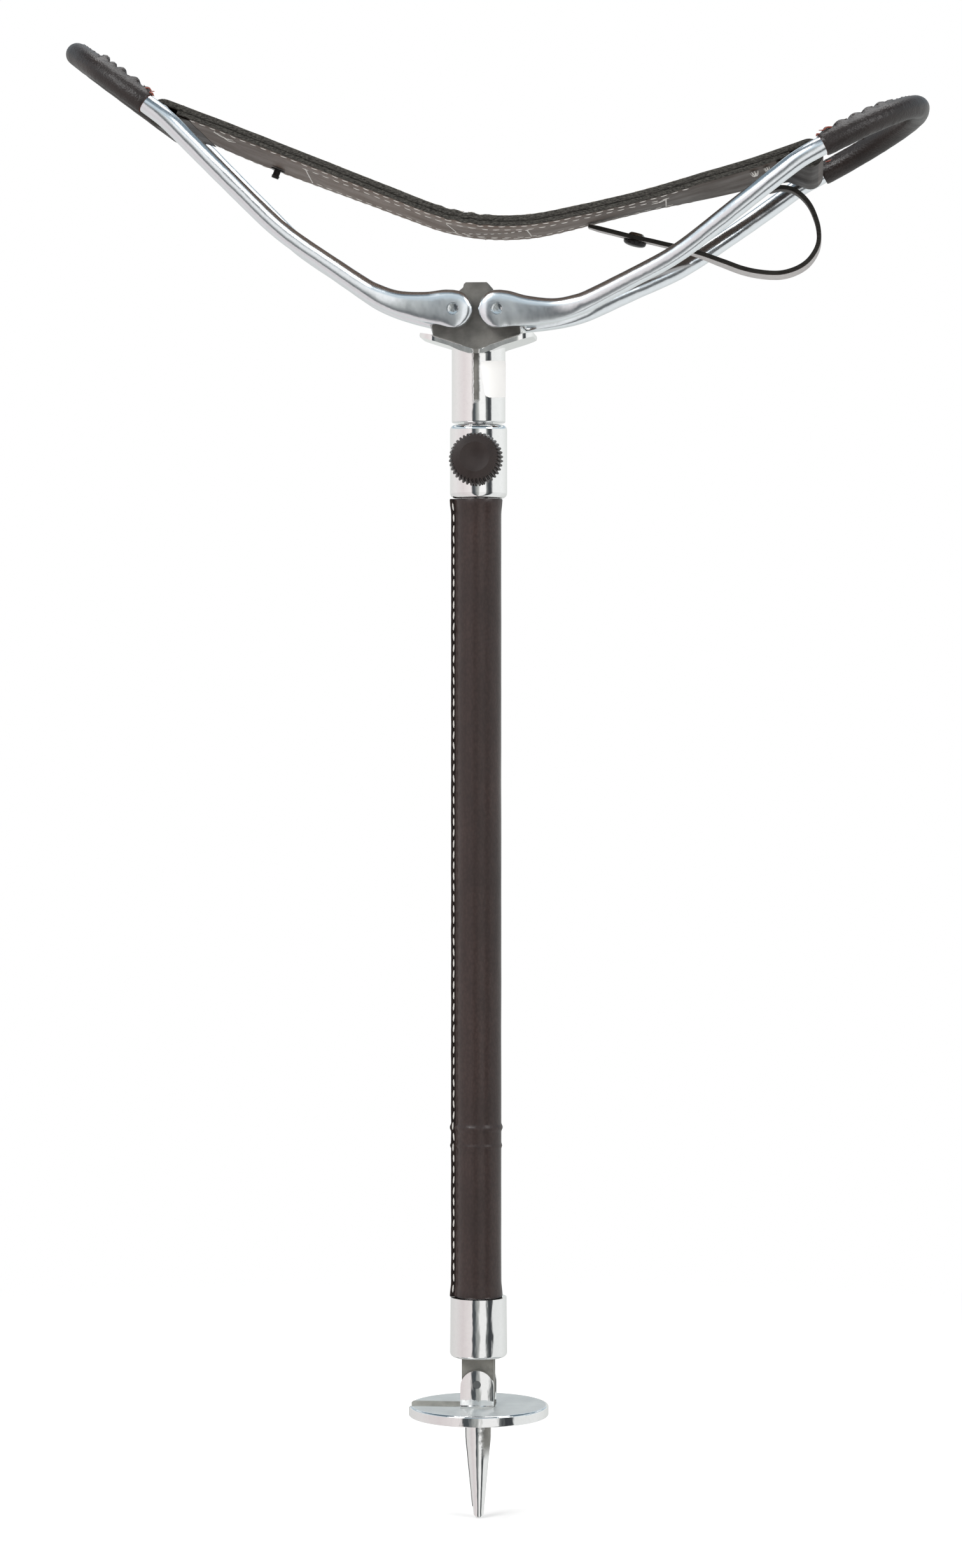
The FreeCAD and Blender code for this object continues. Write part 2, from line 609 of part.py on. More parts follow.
half_block = size["block_deep"] / 2
half_span = size["wing_span"] / 2
block_outline = mirrored_outline([
    (4.0, size["socket_shoulder"] - 2.0),
    (23.6, 592.4),
    (25.2, 598.0),
    (19.4, 604.0),
    (17.6, 612.0),
    (9.6, 617.0),
    (7.2, size["head_top"] - 2.8),
    (6.8, size["head_top"] - 1.0),
    (5.7, size["head_top"]),
])
block = prism(block_outline, half_block)
wing_low = size["wing_rise"] - size["wing_thick"]
wing_outline = mirrored_outline([
    (4.0, size["socket_shoulder"] - 3.2),
    (9.0, size["socket_shoulder"] - 1.6),
    (14.7, size["socket_shoulder"] + 1.0),
    (half_span, wing_low),
    (half_span + 0.5, wing_low + size["wing_thick"] / 2),
    (half_span, size["wing_rise"]),
    (24.0, size["wing_rise"] - 1.4),
    (10.0, size["socket_shoulder"] + 2.5),
    (3.5, size["socket_shoulder"] - 1.0),
])
WING_HALF_DEEP = 20.5
WING_CORNER = 9.0
wings = prism(wing_outline, WING_HALF_DEEP)
corner_blocks = []
for quarter, (side, end) in enumerate([(1, 1), (-1, 1), (-1, -1), (1, -1)]):
    round_corner = Part.makeCylinder(WING_CORNER, 60, vec(0, 0, 560))
    corner = Part.makeBox(WING_CORNER + 1, WING_CORNER + 1, 60, vec(0, 0, 560)).cut(round_corner)
    corner.rotate(vec(0, 0, 0), vec(0, 0, 1), 90 * quarter)
    corner.translate(vec(side * (half_span + 0.5 - WING_CORNER), end * (WING_HALF_DEEP - WING_CORNER), 0))
    corner_blocks.append(corner)
wings = wings.cut(Part.makeCompound(corner_blocks))
socket_front_rib = Part.makeCone(1.4, 1.8, 30, vec(0.1, -size["socket_radius"] + 0.9, 557.0))
socket_back_rib = Part.makeCone(1.4, 1.8, 30, vec(-0.1, size["socket_radius"] - 0.9, 557.0))
head_mass = solid("head_mass", block.fuse([wings, socket_front_rib, socket_back_rib]))
head_raw = fuse("head_raw", [head_socket, head_mass])
head_bore = cylinder("head_bore", "Sizes.inner_radius + 0.02", "Sizes.socket_floor - 540",
                     vec(0, 0, 540))
head_pin_hole = cylinder("head_pin_hole", "%g" % HEAD_PIN_RADIUS, "40", vec(0, -11, HEAD_PIN_Z),
                         vec(0, 1, 0))
arm_pin_holes = []
for side, name in ((-1, "left"), (1, "right")):
    arm_pin_holes.append(cylinder("head_%s_pin_hole" % name, "Sizes.arm_pin_radius", "80",
                                  vec(side * size["pivot_x"], -40, size["pivot_z"]), vec(0, 1, 0)))
head_holes = fuse("head_holes", [head_bore, head_pin_hole] + arm_pin_holes)
keep(cut("head", head_raw, head_holes), "head_casting")
head_pin = cylinder("head_pin", "%g" % HEAD_PIN_RADIUS, "%g" % (size["socket_radius"] - 0.4 + 10.9),
                    vec(0, -10.9, HEAD_PIN_Z), vec(0, 1, 0))
keep(head_pin, "head_pin")

# Arm pins: riveted ends lie slightly below the hubs' outer faces
PIN_BELOW_HUB = 0.6
for side, name in ((-1, "left"), (1, "right")):
    arm_pin = cylinder("arm_pin_%s" % name, "Sizes.arm_pin_radius",
                       "2 * (Sizes.arm_hub_outer - %g)" % PIN_BELOW_HUB,
                       vec(side * size["pivot_x"], -size["arm_hub_outer"] + PIN_BELOW_HUB,
                           size["pivot_z"]), vec(0, 1, 0))
    keep(arm_pin, "arm_pin_%s" % name)

# Arm frame: the pin is the origin and +X runs along the arm to the grip

arm_start = vec(74.0, -34.7, -18.05)
arm_route = [
    arm_start,
    vec(100.0, -43.5, -18.2),
    vec(152.0, -62.0, -8.4),
    vec(181.0, -size["leg_half_gap"] + 0.3, -2.6),
    vec(size["arm_reach"], -size["leg_half_gap"], 0.0),
]
arm_radii = [150.0, 170.0, 60.0, size["bend_radius"]]


def mirror_y(point):
    return vec(point.x, -point.y, point.z)


def arm_wire():
    """Middle line of the rod: out along the front leg, round the bend and back."""
    back = [mirror_y(point) for point in reversed(arm_route)]
    radii = arm_radii + list(reversed(arm_radii))
    return route(arm_route + back, radii)


def ellipse(centre, along, high, deep):
    """A section of the hub's neck: high in the arm's plane, deep across it."""
    side = vec(0, 1, 0)
    upward = along.cross(side).normalize()
    deepward = upward.cross(along).normalize()
    if high >= deep:
        curve = Part.Ellipse(centre + upward * high, centre + deepward * deep, centre)
    else:
        curve = Part.Ellipse(centre + deepward * deep, centre + upward * high, centre)
    return Part.Wire(curve.toShape())


def leg_neck(turn):
    """The broad, flattened part that runs from the hub into the round rod. turn is -1 in front."""
    start_way = (arm_route[1] - arm_route[0]).normalize()
    hub_y = -(size["arm_hub_inner"] + size["arm_hub_outer"]) / 2
    stations = [
        (vec(1.5, hub_y, -1.0), vec(1, 0, -0.5), 9.9, 4.75),
        (vec(14.0, hub_y - 0.1, -7.9), vec(1, -0.02, -0.46), 8.0, 4.8),
        (vec(28.0, hub_y - 1.0, -14.3), vec(1, -0.1, -0.32), 6.4, 5.0),
        (vec(40.0, hub_y - 3.0, -17.2), vec(1, -0.26, -0.15), 5.9, 5.4),
        (vec(50.0, -26.5, -17.9), vec(1, -0.34, -0.01), 5.6, 5.6),
        (arm_start, start_way, size["rod_radius"], size["rod_radius"]),
    ]
    sections = [ellipse(at, way.normalize(), high, deep) for at, way, high, deep in stations]
    neck = Part.makeLoft(sections, True, False)
    return neck if turn < 0 else neck.mirror(vec(0, 0, 0), vec(0, 1, 0))


def arm_hub(turn):
    """One hub: a disc with a rounded outer edge. turn is -1 in front, 1 behind."""
    long = size["arm_hub_outer"] - size["arm_hub_inner"]
    hub = Part.makeCylinder(size["arm_hub_radius"], long, vec(0, turn * size["arm_hub_inner"], 0),
                            vec(0, turn, 0))
    outer_edges = [edge for edge in hub.Edges if isinstance(edge.Curve, Part.Circle)
                   and abs(abs(edge.Curve.Center.y) - size["arm_hub_outer"]) < 0.01]
    return hub.makeFillet(2.2, outer_edges)


def crossbar_shape(fit):
    """Turned bar along Y with a spigot at each end; fit widens the spigots for their holes."""
    shoulder = size["leg_half_gap"] - 10.5
    spigot_end = size["leg_half_gap"] - 2.5
    middle = vec(size["crossbar_out"], 0, -size["crossbar_drop"])
    ends = Part.makeCylinder(size["spigot_radius"] + fit, 2 * spigot_end,
                             middle - vec(0, spigot_end, 0), vec(0, 1, 0))
    if fit:
        return ends
    return ends.fuse(Part.makeCylinder(size["crossbar_radius"], 2 * shoulder,
                                       middle - vec(0, shoulder, 0), vec(0, 1, 0)))


def arm_shape():
    pieces = [tube_along(arm_wire(), size["rod_radius"])]
    for turn in (-1, 1):
        pieces += [leg_neck(turn), arm_hub(turn)]
    casting = pieces[0].fuse(pieces[1:])
    half_gap = Part.makeBox(30, 2 * size["arm_hub_inner"], 40,
                            vec(-15, -size["arm_hub_inner"], -20))
    bore = Part.makeCylinder(size["arm_pin_radius"] + RUNNING_FIT, 80, vec(0, -40, 0), vec(0, 1, 0))
    return casting.cut([half_gap, bore, crossbar_shape(0.02)])


def grip_shape():
    """Leather tube over the bend, closed to the rod by its thickness."""
    wire = arm_wire()
    tube = tube_along(wire, size["grip_radius"], size["rod_radius"] + 0.02)
    beyond = Part.makeBox(200, 400, 200, vec(size["grip_start"], -200, -100))
    return tube.common(beyond)


def arm_placement(side):
    """Place of an arm's own frame in the stick. side is -1 for the left arm."""
    lift = size["left_raise"] if side < 0 else size["right_raise"]
    turned_over = FreeCAD.Rotation(vec(0, 0, 1), 180.0 if side < 0 else 0.0)
    raised = FreeCAD.Rotation(vec(0, 1, 0), lift if side < 0 else -lift)
    return FreeCAD.Placement(vec(side * size["pivot_x"], 0, size["pivot_z"]),
                             raised.multiply(turned_over))


arm_casting = arm_shape()
arm_crossbar = crossbar_shape(0)
arm_grip = grip_shape()
for side, name in ((-1, "left"), (1, "right")):
    place = arm_placement(side)
    keep(solid("arm_casting_%s" % name, arm_casting.copy(), place), "arm_%s" % name)
    keep(solid("crossbar_piece_%s" % name, arm_crossbar.copy(), place), "crossbar_%s" % name)
    keep(solid("grip_piece_%s" % name, arm_grip.copy(), place), "grip_%s" % name)

# Sling seat: the upper layer wraps both crossbars, the lower one lies under its middle.
# The seat is slightly twisted: its back edge runs higher than the front one on the right.

crossbar_at = {}
for side in (-1, 1):
    crossbar_at[side] = arm_placement(side).multVec(
        vec(size["crossbar_out"], 0, -size["crossbar_drop"]))

thick = size["leather_thick"]
wrap_radius = size["crossbar_radius"] + BETWEEN_BODIES + thick / 2
seat_half = size["seat_width"] / 2
LAYER_GAP = 0.05
FLAP_PAST_BAR = 9.0
FLAP_TO_UNDER_LAYER = 2.0

# Middle line of the upper layer between the bars, from left to right, at the two long edges
front_sag = [vec(-133.0, 0, 704.6), vec(9.0, 0, 647.4), vec(94.0, 0, 665.6), vec(150.0, 0, 681.9)]
back_sag = [vec(-133.0, 0, 701.4), vec(3.0, 0, 650.6), vec(94.0, 0, 672.4), vec(150.0, 0, 683.0)]
SAG_RADII = [330.0, 120.0, 420.0, 420.0]


def touch_point(centre, radius, outside, above):
    """Where a line from a point touches a circle in the XZ plane, on its upper or lower side."""
    reach = outside - centre
    base = math.atan2(reach.z, reach.x)
    open_angle = math.acos(radius / reach.Length)
    choices = []
    for turn in (open_angle, -open_angle):
        angle = base + turn
        choices.append(centre + vec(radius * math.cos(angle), 0, radius * math.sin(angle)))
    choices.sort(key=lambda point: point.z)
    return choices[1] if above else choices[0]


def near_end(sag, side):
    """The sag point beside one bar, and the direction of the run that leads away from it."""
    anchor, beside = (sag[0], sag[1]) if side < 0 else (sag[-1], sag[-2])
    return anchor, (beside - anchor).normalize()


def below(way, distance):
    """A step square to a direction in the XZ plane, downwards."""
    normal = vec(way.z, 0, -way.x) if way.x > 0 else vec(-way.z, 0, way.x)
    return normal * distance


def wrap_edges(sag, side):
    """Round one bar: upper touch point, two arcs, and the straight tucked flap."""
    centre = crossbar_at[side]
    anchor, way = near_end(sag, side)
    flap_end = anchor + way * FLAP_PAST_BAR + below(way, thick + LAYER_GAP)
    upper = touch_point(centre, wrap_radius, anchor, True)
    lower = touch_point(centre, wrap_radius, flap_end, False)
    outward = (centre - (upper + lower) * 0.5).normalize()
    turn_up = (upper - centre).getAngle(outward) / 2
    turn_down = (lower - centre).getAngle(outward) / 2
    spin = FreeCAD.Rotation(vec(0, -1, 0), math.degrees(turn_up) * side)
    spin_down = FreeCAD.Rotation(vec(0, 1, 0), math.degrees(turn_down) * side)
    far = centre + outward * wrap_radius
    over = Part.Arc(upper, centre + spin.multVec(outward) * wrap_radius, far).toShape()
    under = Part.Arc(far, centre + spin_down.multVec(outward) * wrap_radius, lower).toShape()
    return upper, [over, under, Part.makeLine(lower, flap_end)]


def turned_round(edge):
    """The same edge, run the other way."""
    first, last = edge.FirstParameter, edge.LastParameter
    start, middle, end = (edge.valueAt(value) for value in (last, (first + last) / 2, first))
    if isinstance(edge.Curve, Part.Circle):
        return Part.Arc(start, middle, end).toShape()
    return Part.makeLine(start, end)


def ends_of(edge, after):
    """Start, middle and end of an edge, in the order in which the path runs."""
    first, last = edge.FirstParameter, edge.LastParameter
    stops = (first, (first + last) / 2, last)
    points = [(edge.valueAt(value), edge.tangentAt(value)) for value in stops]
    if (points[0][0] - after).Length > (points[-1][0] - after).Length:
        points = [(point, way * -1) for point, way in reversed(points)]
    return points


def strip_outline(edges, start, thickness, y):
    """Closed outline of a strip about a path in the XZ plane, moved to one Y."""
    sides = {1: [], -1: []}
    reached = start
    for edge in edges:
        run = ends_of(edge, reached)
        reached = run[-1][0]
        for hand in sides:
            moved = [point + vec(-way.z, 0, way.x) * (hand * thickness / 2) for point, way in run]
            if isinstance(edge.Curve, Part.Circle):
                sides[hand].append((moved[0], moved[-1], Part.Arc(*moved).toShape()))
            else:
                sides[hand].append((moved[0], moved[-1], Part.makeLine(moved[0], moved[-1])))
    first_cap = Part.makeLine(sides[-1][0][0], sides[1][0][0])
    last_cap = Part.makeLine(sides[1][-1][1], sides[-1][-1][1])
    loop = [one[2] for one in sides[1]] + [last_cap]
    loop += [one[2] for one in reversed(sides[-1])] + [first_cap]
    outline = Part.Wire(loop)
    outline.translate(vec(0, y, 0))
    return outline


def upper_outline(sag, y):
    left_top, left_wrap = wrap_edges(sag, -1)
    right_top, right_wrap = wrap_edges(sag, 1)
    span = route([left_top] + sag + [right_top], SAG_RADII)
    start = left_wrap[-1].valueAt(left_wrap[-1].LastParameter)
    edges = [turned_round(edge) for edge in reversed(left_wrap)] + span.OrderedEdges + right_wrap
    return strip_outline(edges, start, thick, y)


def lower_outline(sag, y):
    ends = []
    for side in (-1, 1):
        anchor, way = near_end(sag, side)
        ends.append(anchor + way * (FLAP_PAST_BAR + FLAP_TO_UNDER_LAYER))
    points, radii = shifted([ends[0]] + sag[1:-1] + [ends[1]], SAG_RADII[1:-1], -thick - LAYER_GAP)
    return strip_outline(route(points, radii).OrderedEdges, points[0], thick, y)


for name, outline in (("seat_upper", upper_outline), ("seat_lower", lower_outline)):
    layer = Part.makeLoft([outline(front_sag, -seat_half), outline(back_sag, seat_half)], True, True)
    keep(solid(name + "_layer", layer), name)

# Closing strap with its snap, and the stud that it closes on

strap_points = [
    vec(58.5, 0, 654.6),
    vec(106.5, 0, 646.6),
    vec(141.0, 0, 633.2),
    vec(166.0, 0, 627.4),
    vec(185.4, 0, 640.0),
    vec(188.8, 0, 659.5),
    vec(178.5, 0, 675.7),
    vec(160.0, 0, 674.2),
]
STRAP_RADII = [90.0, 75.0, 17.0, 24.0, 15.0, 9.0]
strap_low = size["strap_y"] - size["strap_wide"] / 2
strap_high = size["strap_y"] + size["strap_wide"] / 2
strap_path = route(strap_points, STRAP_RADII)
strap_raw = strip_along(strap_path, size["strap_thick"], strap_low, strap_high)
SNAP_FROM_TIP = 27.0
strap_way = (strap_points[1] - strap_points[0]).normalize()
snap_middle = strap_points[0] + strap_way * SNAP_FROM_TIP + vec(0, size["strap_y"], 0)
snap_way = below(strap_way, 1.0)
BARREL_RADIUS = 2.05
snap_hole = Part.makeCylinder(BARREL_RADIUS + 0.05, 12, snap_middle - snap_way * 6, snap_way)
keep(solid("strap", strap_raw.cut(snap_hole)), "closing_strap")


def snap_socket_shape():
    """Cap below the strap, ring above it and the barrel that joins them."""
    half = size["strap_thick"] / 2 + 0.05
    cap = Part.makeCylinder(6.3, 3.4, snap_middle + snap_way * half, snap_way)
    rim = [edge for edge in cap.Edges if isinstance(edge.Curve, Part.Circle)
           and (edge.Curve.Center - snap_middle).Length > half + 2]
    cap = cap.makeFillet(1.5, rim)
    above = Part.makeCone(4.8, 3.6, 1.6, snap_middle - snap_way * half, snap_way * -1)
    barrel = Part.makeCylinder(BARREL_RADIUS, 2 * half + 1.0, snap_middle - snap_way * (half + 0.5),
                               snap_way)
    return cap.fuse([above, barrel])


keep(solid("snap", snap_socket_shape()), "snap_socket")


def seat_underside(x, y):
    """A point on the seat's underside left of the sag, and the way that the surface faces."""
    share = (y + seat_half) / size["seat_width"]
    start = front_sag[0] * (1 - share) + back_sag[0] * share
    end = front_sag[1] * (1 - share) + back_sag[1] * share
    way = (end - start).normalize()
    on_line = start + way * ((x - start.x) / way.x) + below(way, 1.5 * thick + LAYER_GAP)
    return on_line + vec(0, y, 0), below(way, 1.0)


stud_base, stud_way = seat_underside(size["stud_x"], size["strap_y"])
stud_base = stud_base + stud_way * 1.5 * BETWEEN_BODIES
STUD_HIGH = 5.4
stud_flange = Part.makeCylinder(4.0, 0.9, stud_base, stud_way)
stud_post = Part.makeCylinder(1.9, STUD_HIGH, stud_base, stud_way)
stud_head = Part.makeCone(2.3, 2.0, 1.6, stud_base + stud_way * (STUD_HIGH - 1.6), stud_way)
keep(solid("stud", stud_flange.fuse([stud_post, stud_head])), "snap_stud")

# Build, test and write every piece

doc.recompute()
for item in doc.Objects:
    if "Invalid" in item.State or "Error" in item.State:
        raise RuntimeError("%s did not build: %s" % (item.Label, item.State))

os.makedirs("parts", exist_ok=True)
for item in kept:
    shape = item.Shape
    if shape.isNull() or not shape.isValid() or shape.Volume <= 0:
        raise RuntimeError("%s has no sound shape" % item.Label)
    shape.exportStep("parts/%s.step" % item.Label)
    bounds = shape.BoundBox
    print("%-18s solids %d volume %9.0f z %7.1f to %7.1f" % (
        item.Label, len(shape.Solids), shape.Volume, bounds.ZMin, bounds.ZMax))
rod_length = arm_wire().Length
print("rod volume against section times length: %.3f" % (
    tube_along(arm_wire(), size["rod_radius"]).Volume / (math.pi * size["rod_radius"] ** 2 * rod_length)))
print("strap length %.1f" % strap_path.Length)
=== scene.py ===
import math

import bpy
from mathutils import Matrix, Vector, noise


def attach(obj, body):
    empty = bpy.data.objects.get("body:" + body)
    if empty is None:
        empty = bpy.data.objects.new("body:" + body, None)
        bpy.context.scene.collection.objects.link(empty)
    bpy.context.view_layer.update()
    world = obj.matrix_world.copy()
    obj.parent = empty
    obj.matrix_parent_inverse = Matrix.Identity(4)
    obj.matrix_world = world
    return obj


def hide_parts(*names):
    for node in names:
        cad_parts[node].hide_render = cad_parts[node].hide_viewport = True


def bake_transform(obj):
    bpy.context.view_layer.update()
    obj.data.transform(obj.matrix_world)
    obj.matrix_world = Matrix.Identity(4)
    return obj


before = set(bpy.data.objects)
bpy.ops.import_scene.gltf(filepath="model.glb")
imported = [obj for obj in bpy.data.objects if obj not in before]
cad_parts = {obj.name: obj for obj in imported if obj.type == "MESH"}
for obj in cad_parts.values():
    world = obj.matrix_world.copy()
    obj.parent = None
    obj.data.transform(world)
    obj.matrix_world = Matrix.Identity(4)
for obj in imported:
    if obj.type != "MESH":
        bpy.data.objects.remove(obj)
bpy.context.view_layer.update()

bl_info = {
    "name": "Walking stick seat",
    "version": (1, 0, 0),
    "blender": (4, 5, 0),
    "location": "3D View > Sidebar > Stick Seat",
    "description": "Leather, thread and metal finishes of a walking stick that opens into a sling seat",
    "category": "Object",
}

# Lengths below are millimetres, in the part's own frame; meshes are written in metres.
MM = 0.001
SIDES = ((-1, "left"), (1, "right"))
WHITE = (1, 1, 1, 1)

# Arms: the pin is the origin of an arm's own frame, which is raised about it by LIFT, in degrees.
# LEG holds the corners of the front leg's middle line, with the radii that round them.
PIVOT_X = 12.0
PIVOT_Z = 606.6
LIFT = {-1: 34.3, 1: 25.45}
ROD_RADIUS = 5.1
GRIP_RADIUS = 6.2
GRIP_START = 194.5
BEND_MIDDLE_X = 191
LEG = [(74, -34.7, -18.05), (100, -43.5, -18.2), (152, -62, -8.4), (181, -67.7, -2.6), (253, -68, 0)]
LEG_BENDS = [150, 170, 60, 62]
HUB_MIDDLE = 21.15
PIN_HOLE = 3.42

# Sections of an arm's hub and neck: place along the hub or in the arm's frame, half height,
# half depth and squareness (2 is round)
NECK = [(-10.5, 0.5, 2.2, 2.2), (-10.2, 2.5, 2.7, 2.4), (-9.3, 4.9, 3.6, 2.8), (-7.6, 7.25, 4.35, 3.2),
        (-5, 9.25, 4.75, 3.6), (-2, 10.3, 4.85, 4.0), (1.5, 10.45, 4.85, 4.0), (5, 10.1, 4.85, 3.8)]
NECK_RUN = [((14.0, -21.25, -7.9), 8.3, 4.85, 3.4), ((28.0, -22.15, -14.3), 6.6, 5.0, 2.8),
            ((40.0, -24.15, -17.2), 5.95, 5.4, 2.3), ((50.0, -26.5, -17.9), 5.6, 5.6, 2.0),
            ((74.0, -34.7, -18.05), 5.1, 5.1, 2.0)]

# Seat: middle line of the upper layer along the front and back edges, between the crossbars, with
# the X of the lower layer's ends and of the flaps' seams and tips.
SEAT_HALF = 54.0
LAYER = 3.2
LAYER_GAP = 0.05
WRAP_RADIUS = 6.1
BARS = {-1: (-167.05, 711.1), 1: (181.3, 686.05)}
FRONT_SAG = [(-133, 704.6), (9, 647.4), (94, 665.6), (150, 681.9)]
BACK_SAG = [(-133, 701.4), (3, 650.6), (94, 672.4), (150, 683.0)]
SAG_BENDS = [330, 120, 420, 420]
LOWER_ENDS = (-161.5, 172.5)
FLAP_SEAM = {-1: -156.5, 1: 168.0}
FLAP_TIP = {-1: -151.0, 1: 162.5}

# How finely the seat is divided: faces across it, and points of each section along it
ACROSS = 36
FLAP_POINTS, WRAP_POINTS, SPAN_POINTS = 12, 20, 150

# Seams of the seat: inset from its long edges, and two boxes as low and high X, then low and high Y
EDGE_INSET = 3.2
LONG_BOX = (-90.0, 103.0, -34.0, 31.0)
SMALL_BOX = (-14.0, 28.0, -26.0, 24.0)

# Closing strap and its snap. STRAP_ROLL is how far its back edge hangs below the front one.
STRAP_Y = 26.0
STRAP_WIDE = 13.0
STRAP_THICK = 2.5
STRAP_ROLL = 1.8
STRAP = [(59.3, 656.0), (83.1, 649.8), (105.9, 644.4), (121.9, 639.6), (143.7, 631.2), (155.6, 628.7),
         (166.0, 628.4), (175.0, 631.0), (182.0, 636.3), (186.2, 644.2), (186.3, 654.2),
         (182.8, 664.4), (178.0, 671.0), (172.6, 674.9), (166.0, 676.2), (159.0, 675.0)]
SNAP_FROM_TIP = 27.0

# Sleeve round the stick, its creases as height, depth and half width, its seam, and the socket
SLEEVE_RADIUS = 12.5
SLEEVE_BORE = 11.02
SLEEVE_LOW = 65.6
SLEEVE_HIGH = 503.9
SLEEVE_CREASES = ((158.5, 0.8, 2.6), (148.5, 0.5, 1.8))
SEAM_TURN = math.radians(190)
SEAM_FOOT = 3.3
SEAM_HIGH = 2.7
SOCKET_RADIUS = 14.75

# The floor, the photograph's size with the stick's axis and the horizon in it, and the camera
# fitted to it: turned to the right of the front by CAMERA_TURN, in degrees
FLOOR_Z = -56.4
PHOTO_WIDE, PHOTO_HIGH = 1512, 2464
AXIS_PX, HORIZON_PX = 752.2, 1035
CAMERA_TURN = 4.6
CAMERA_Z = 416.15

# Lamps: name, place and height that they point at, in metres, then size in metres and power in watts
LAMPS = (("key_lamp", (-1.6, -1.9, 2.3), 0.45, 1.3, 42), ("fill_lamp", (2.1, -1.6, 1.9), 0.45, 1.3, 20),
         ("top_lamp", (0.1, 0.5, 2.6), 0.4, 1.8, 26))

# What polished metal mirrors: white cards with dark gaps in front, by degrees from the front,
# and a blue-grey room overhead, by height from level to straight up
GLOSS_AROUND = [(-180, "#dcdfdd"), (-100, "#ece9e9"), (-60, "#e6dedf"), (-25, "#f4eeee"),
                (-20, "#4d5154"), (-11, "#4f5458"), (-6, "#8a8d8d"), (4, "#bcbebc"), (10, "#ffffff"),
                (33, "#ffffff"), (38, "#7d8080"), (47, "#3f4245"), (58, "#484b4e"), (64, "#f2f4f4"),
                (110, "#f6f8f8"), (180, "#dcdfdd")]
GLOSS_ABOVE = [(0.0, "#ffffff"), (0.14, "#dfe6ea"), (0.3, "#bfced8"), (0.43, "#a3b6c3"),
               (0.46, "#eef3f6"), (0.54, "#e8eef2"), (0.58, "#8195a2"), (0.8, "#596772"),
               (1.0, "#3b454d")]


def linear(code):
    """An sRGB hex colour as linear red, green, blue and alpha."""
    parts = [int(code[at:at + 2], 16) / 255 for at in (1, 3, 5)]
    return tuple(p / 12.92 if p <= 0.04045 else ((p + 0.055) / 1.055) ** 2.4 for p in parts) + (1.0,)


def colour(label, description, code):
    """A colour setting, with its default as an sRGB hex colour."""
    return bpy.props.FloatVectorProperty(name=label, description=description, subtype="COLOR",
                                         size=3, min=0, max=1, default=linear(code)[:3])


def length(label, description, value):
    """A length setting, with its default in millimetres."""
    return bpy.props.FloatProperty(name=label, description=description, unit="LENGTH",
                                   min=0, default=value * MM)


class LeatherLooks(bpy.types.PropertyGroup):
    sleeve: colour("Sleeve", "Dyed leather round the stick", "#3a2d2a")
    seat: colour("Seat", "Smooth flesh side of the seat", "#63554c")
    seat_top: colour("Seat top", "Grain side of the seat, sat on", "#4b3d37")
    cut_edge: colour("Cut edges", "Raw fibrous edges of the seat's two layers", "#4b4945")
    grip: colour("Grips", "Thin leather round the outer bends", "#271e1b")
    strap_back: colour("Strap back", "Pale flesh side of the closing strap", "#cfccca")
    grain: length("Grain size", "Width of one leather pebble", 1.3)


class ThreadLooks(bpy.types.PropertyGroup):
    waxed: colour("Waxed thread", "Linen thread of the seat and sleeve", "#e8e4de")
    stained: colour("Stained thread", "Thread ends at the grips", "#9a4a38")
    pitch: length("Stitch pitch", "From one stitch to the next", 5.9)
    stitch: length("Stitch length", "Length of thread that shows", 4.0)
    thickness: length("Thread thickness", "Width of a stitch", 0.8)


class MetalLooks(bpy.types.PropertyGroup):
    polish: colour("Polished aluminium", "Hand-polished castings", "#f6f6f5")
    as_cast: colour("As-cast aluminium", "Unpolished casting skin", "#83817c")
    knob: colour("Knob", "Moulded resin of the clamp knob", "#322a28")
    snap: colour("Snap", "Japanned cap of the snap", "#1b1918")


class StageLooks(bpy.types.PropertyGroup):
    floor: colour("Floor", "Plain pale floor", "#f2f2f2")
    lamp_level: bpy.props.FloatProperty(name="Lamp level", description="Strength of the soft lamps",
                                        min=0, default=1.0)
    distance: length("Camera distance", "From the stick's axis to the camera", 2300)


# Nodes and objects

def connect(node, inputs):
    """Set a node's inputs, each from a value, a socket, or a node whose first output is meant."""
    for key, given in inputs.items():
        source = given.outputs[0] if isinstance(given, bpy.types.Node) else given
        if isinstance(source, bpy.types.NodeSocket):
            node.id_data.links.new(source, node.inputs[key])
        else:
            node.inputs[key].default_value = given


def add_node(tree, kind, inputs=None, **settings):
    """Add a node with its settings, then its inputs."""
    node = tree.nodes.new(kind)
    for key, value in settings.items():
        setattr(node, key, value)
    connect(node, inputs or {})
    return node


def put_in_scene(name, data):
    """A new object at the origin that holds a mesh, a lamp or a camera."""
    thing = bpy.data.objects.new(name, data)
    bpy.context.scene.collection.objects.link(thing)
    return thing


def made_plain(source, name):
    """The mesh that an object's modifiers give, as a plain object in its place."""
    mesh = bpy.data.meshes.new_from_object(source.evaluated_get(bpy.context.evaluated_depsgraph_get()))
    mesh.name = name
    bpy.data.objects.remove(source)
    return put_in_scene(name, mesh)


# Meshes and paths

def volume_of(points, faces):
    """Volume within the faces, negative when they face inwards."""
    total = 0.0
    for face in faces:
        for second, third in zip(face[1:-1], face[2:]):
            total += points[face[0]].dot(points[second].cross(points[third]))
    return total / 6


def facing_out(points, faces):
    """The faces, all turned over if they face inwards."""
    return [tuple(reversed(face)) for face in faces] if volume_of(points, faces) < 0 else faces


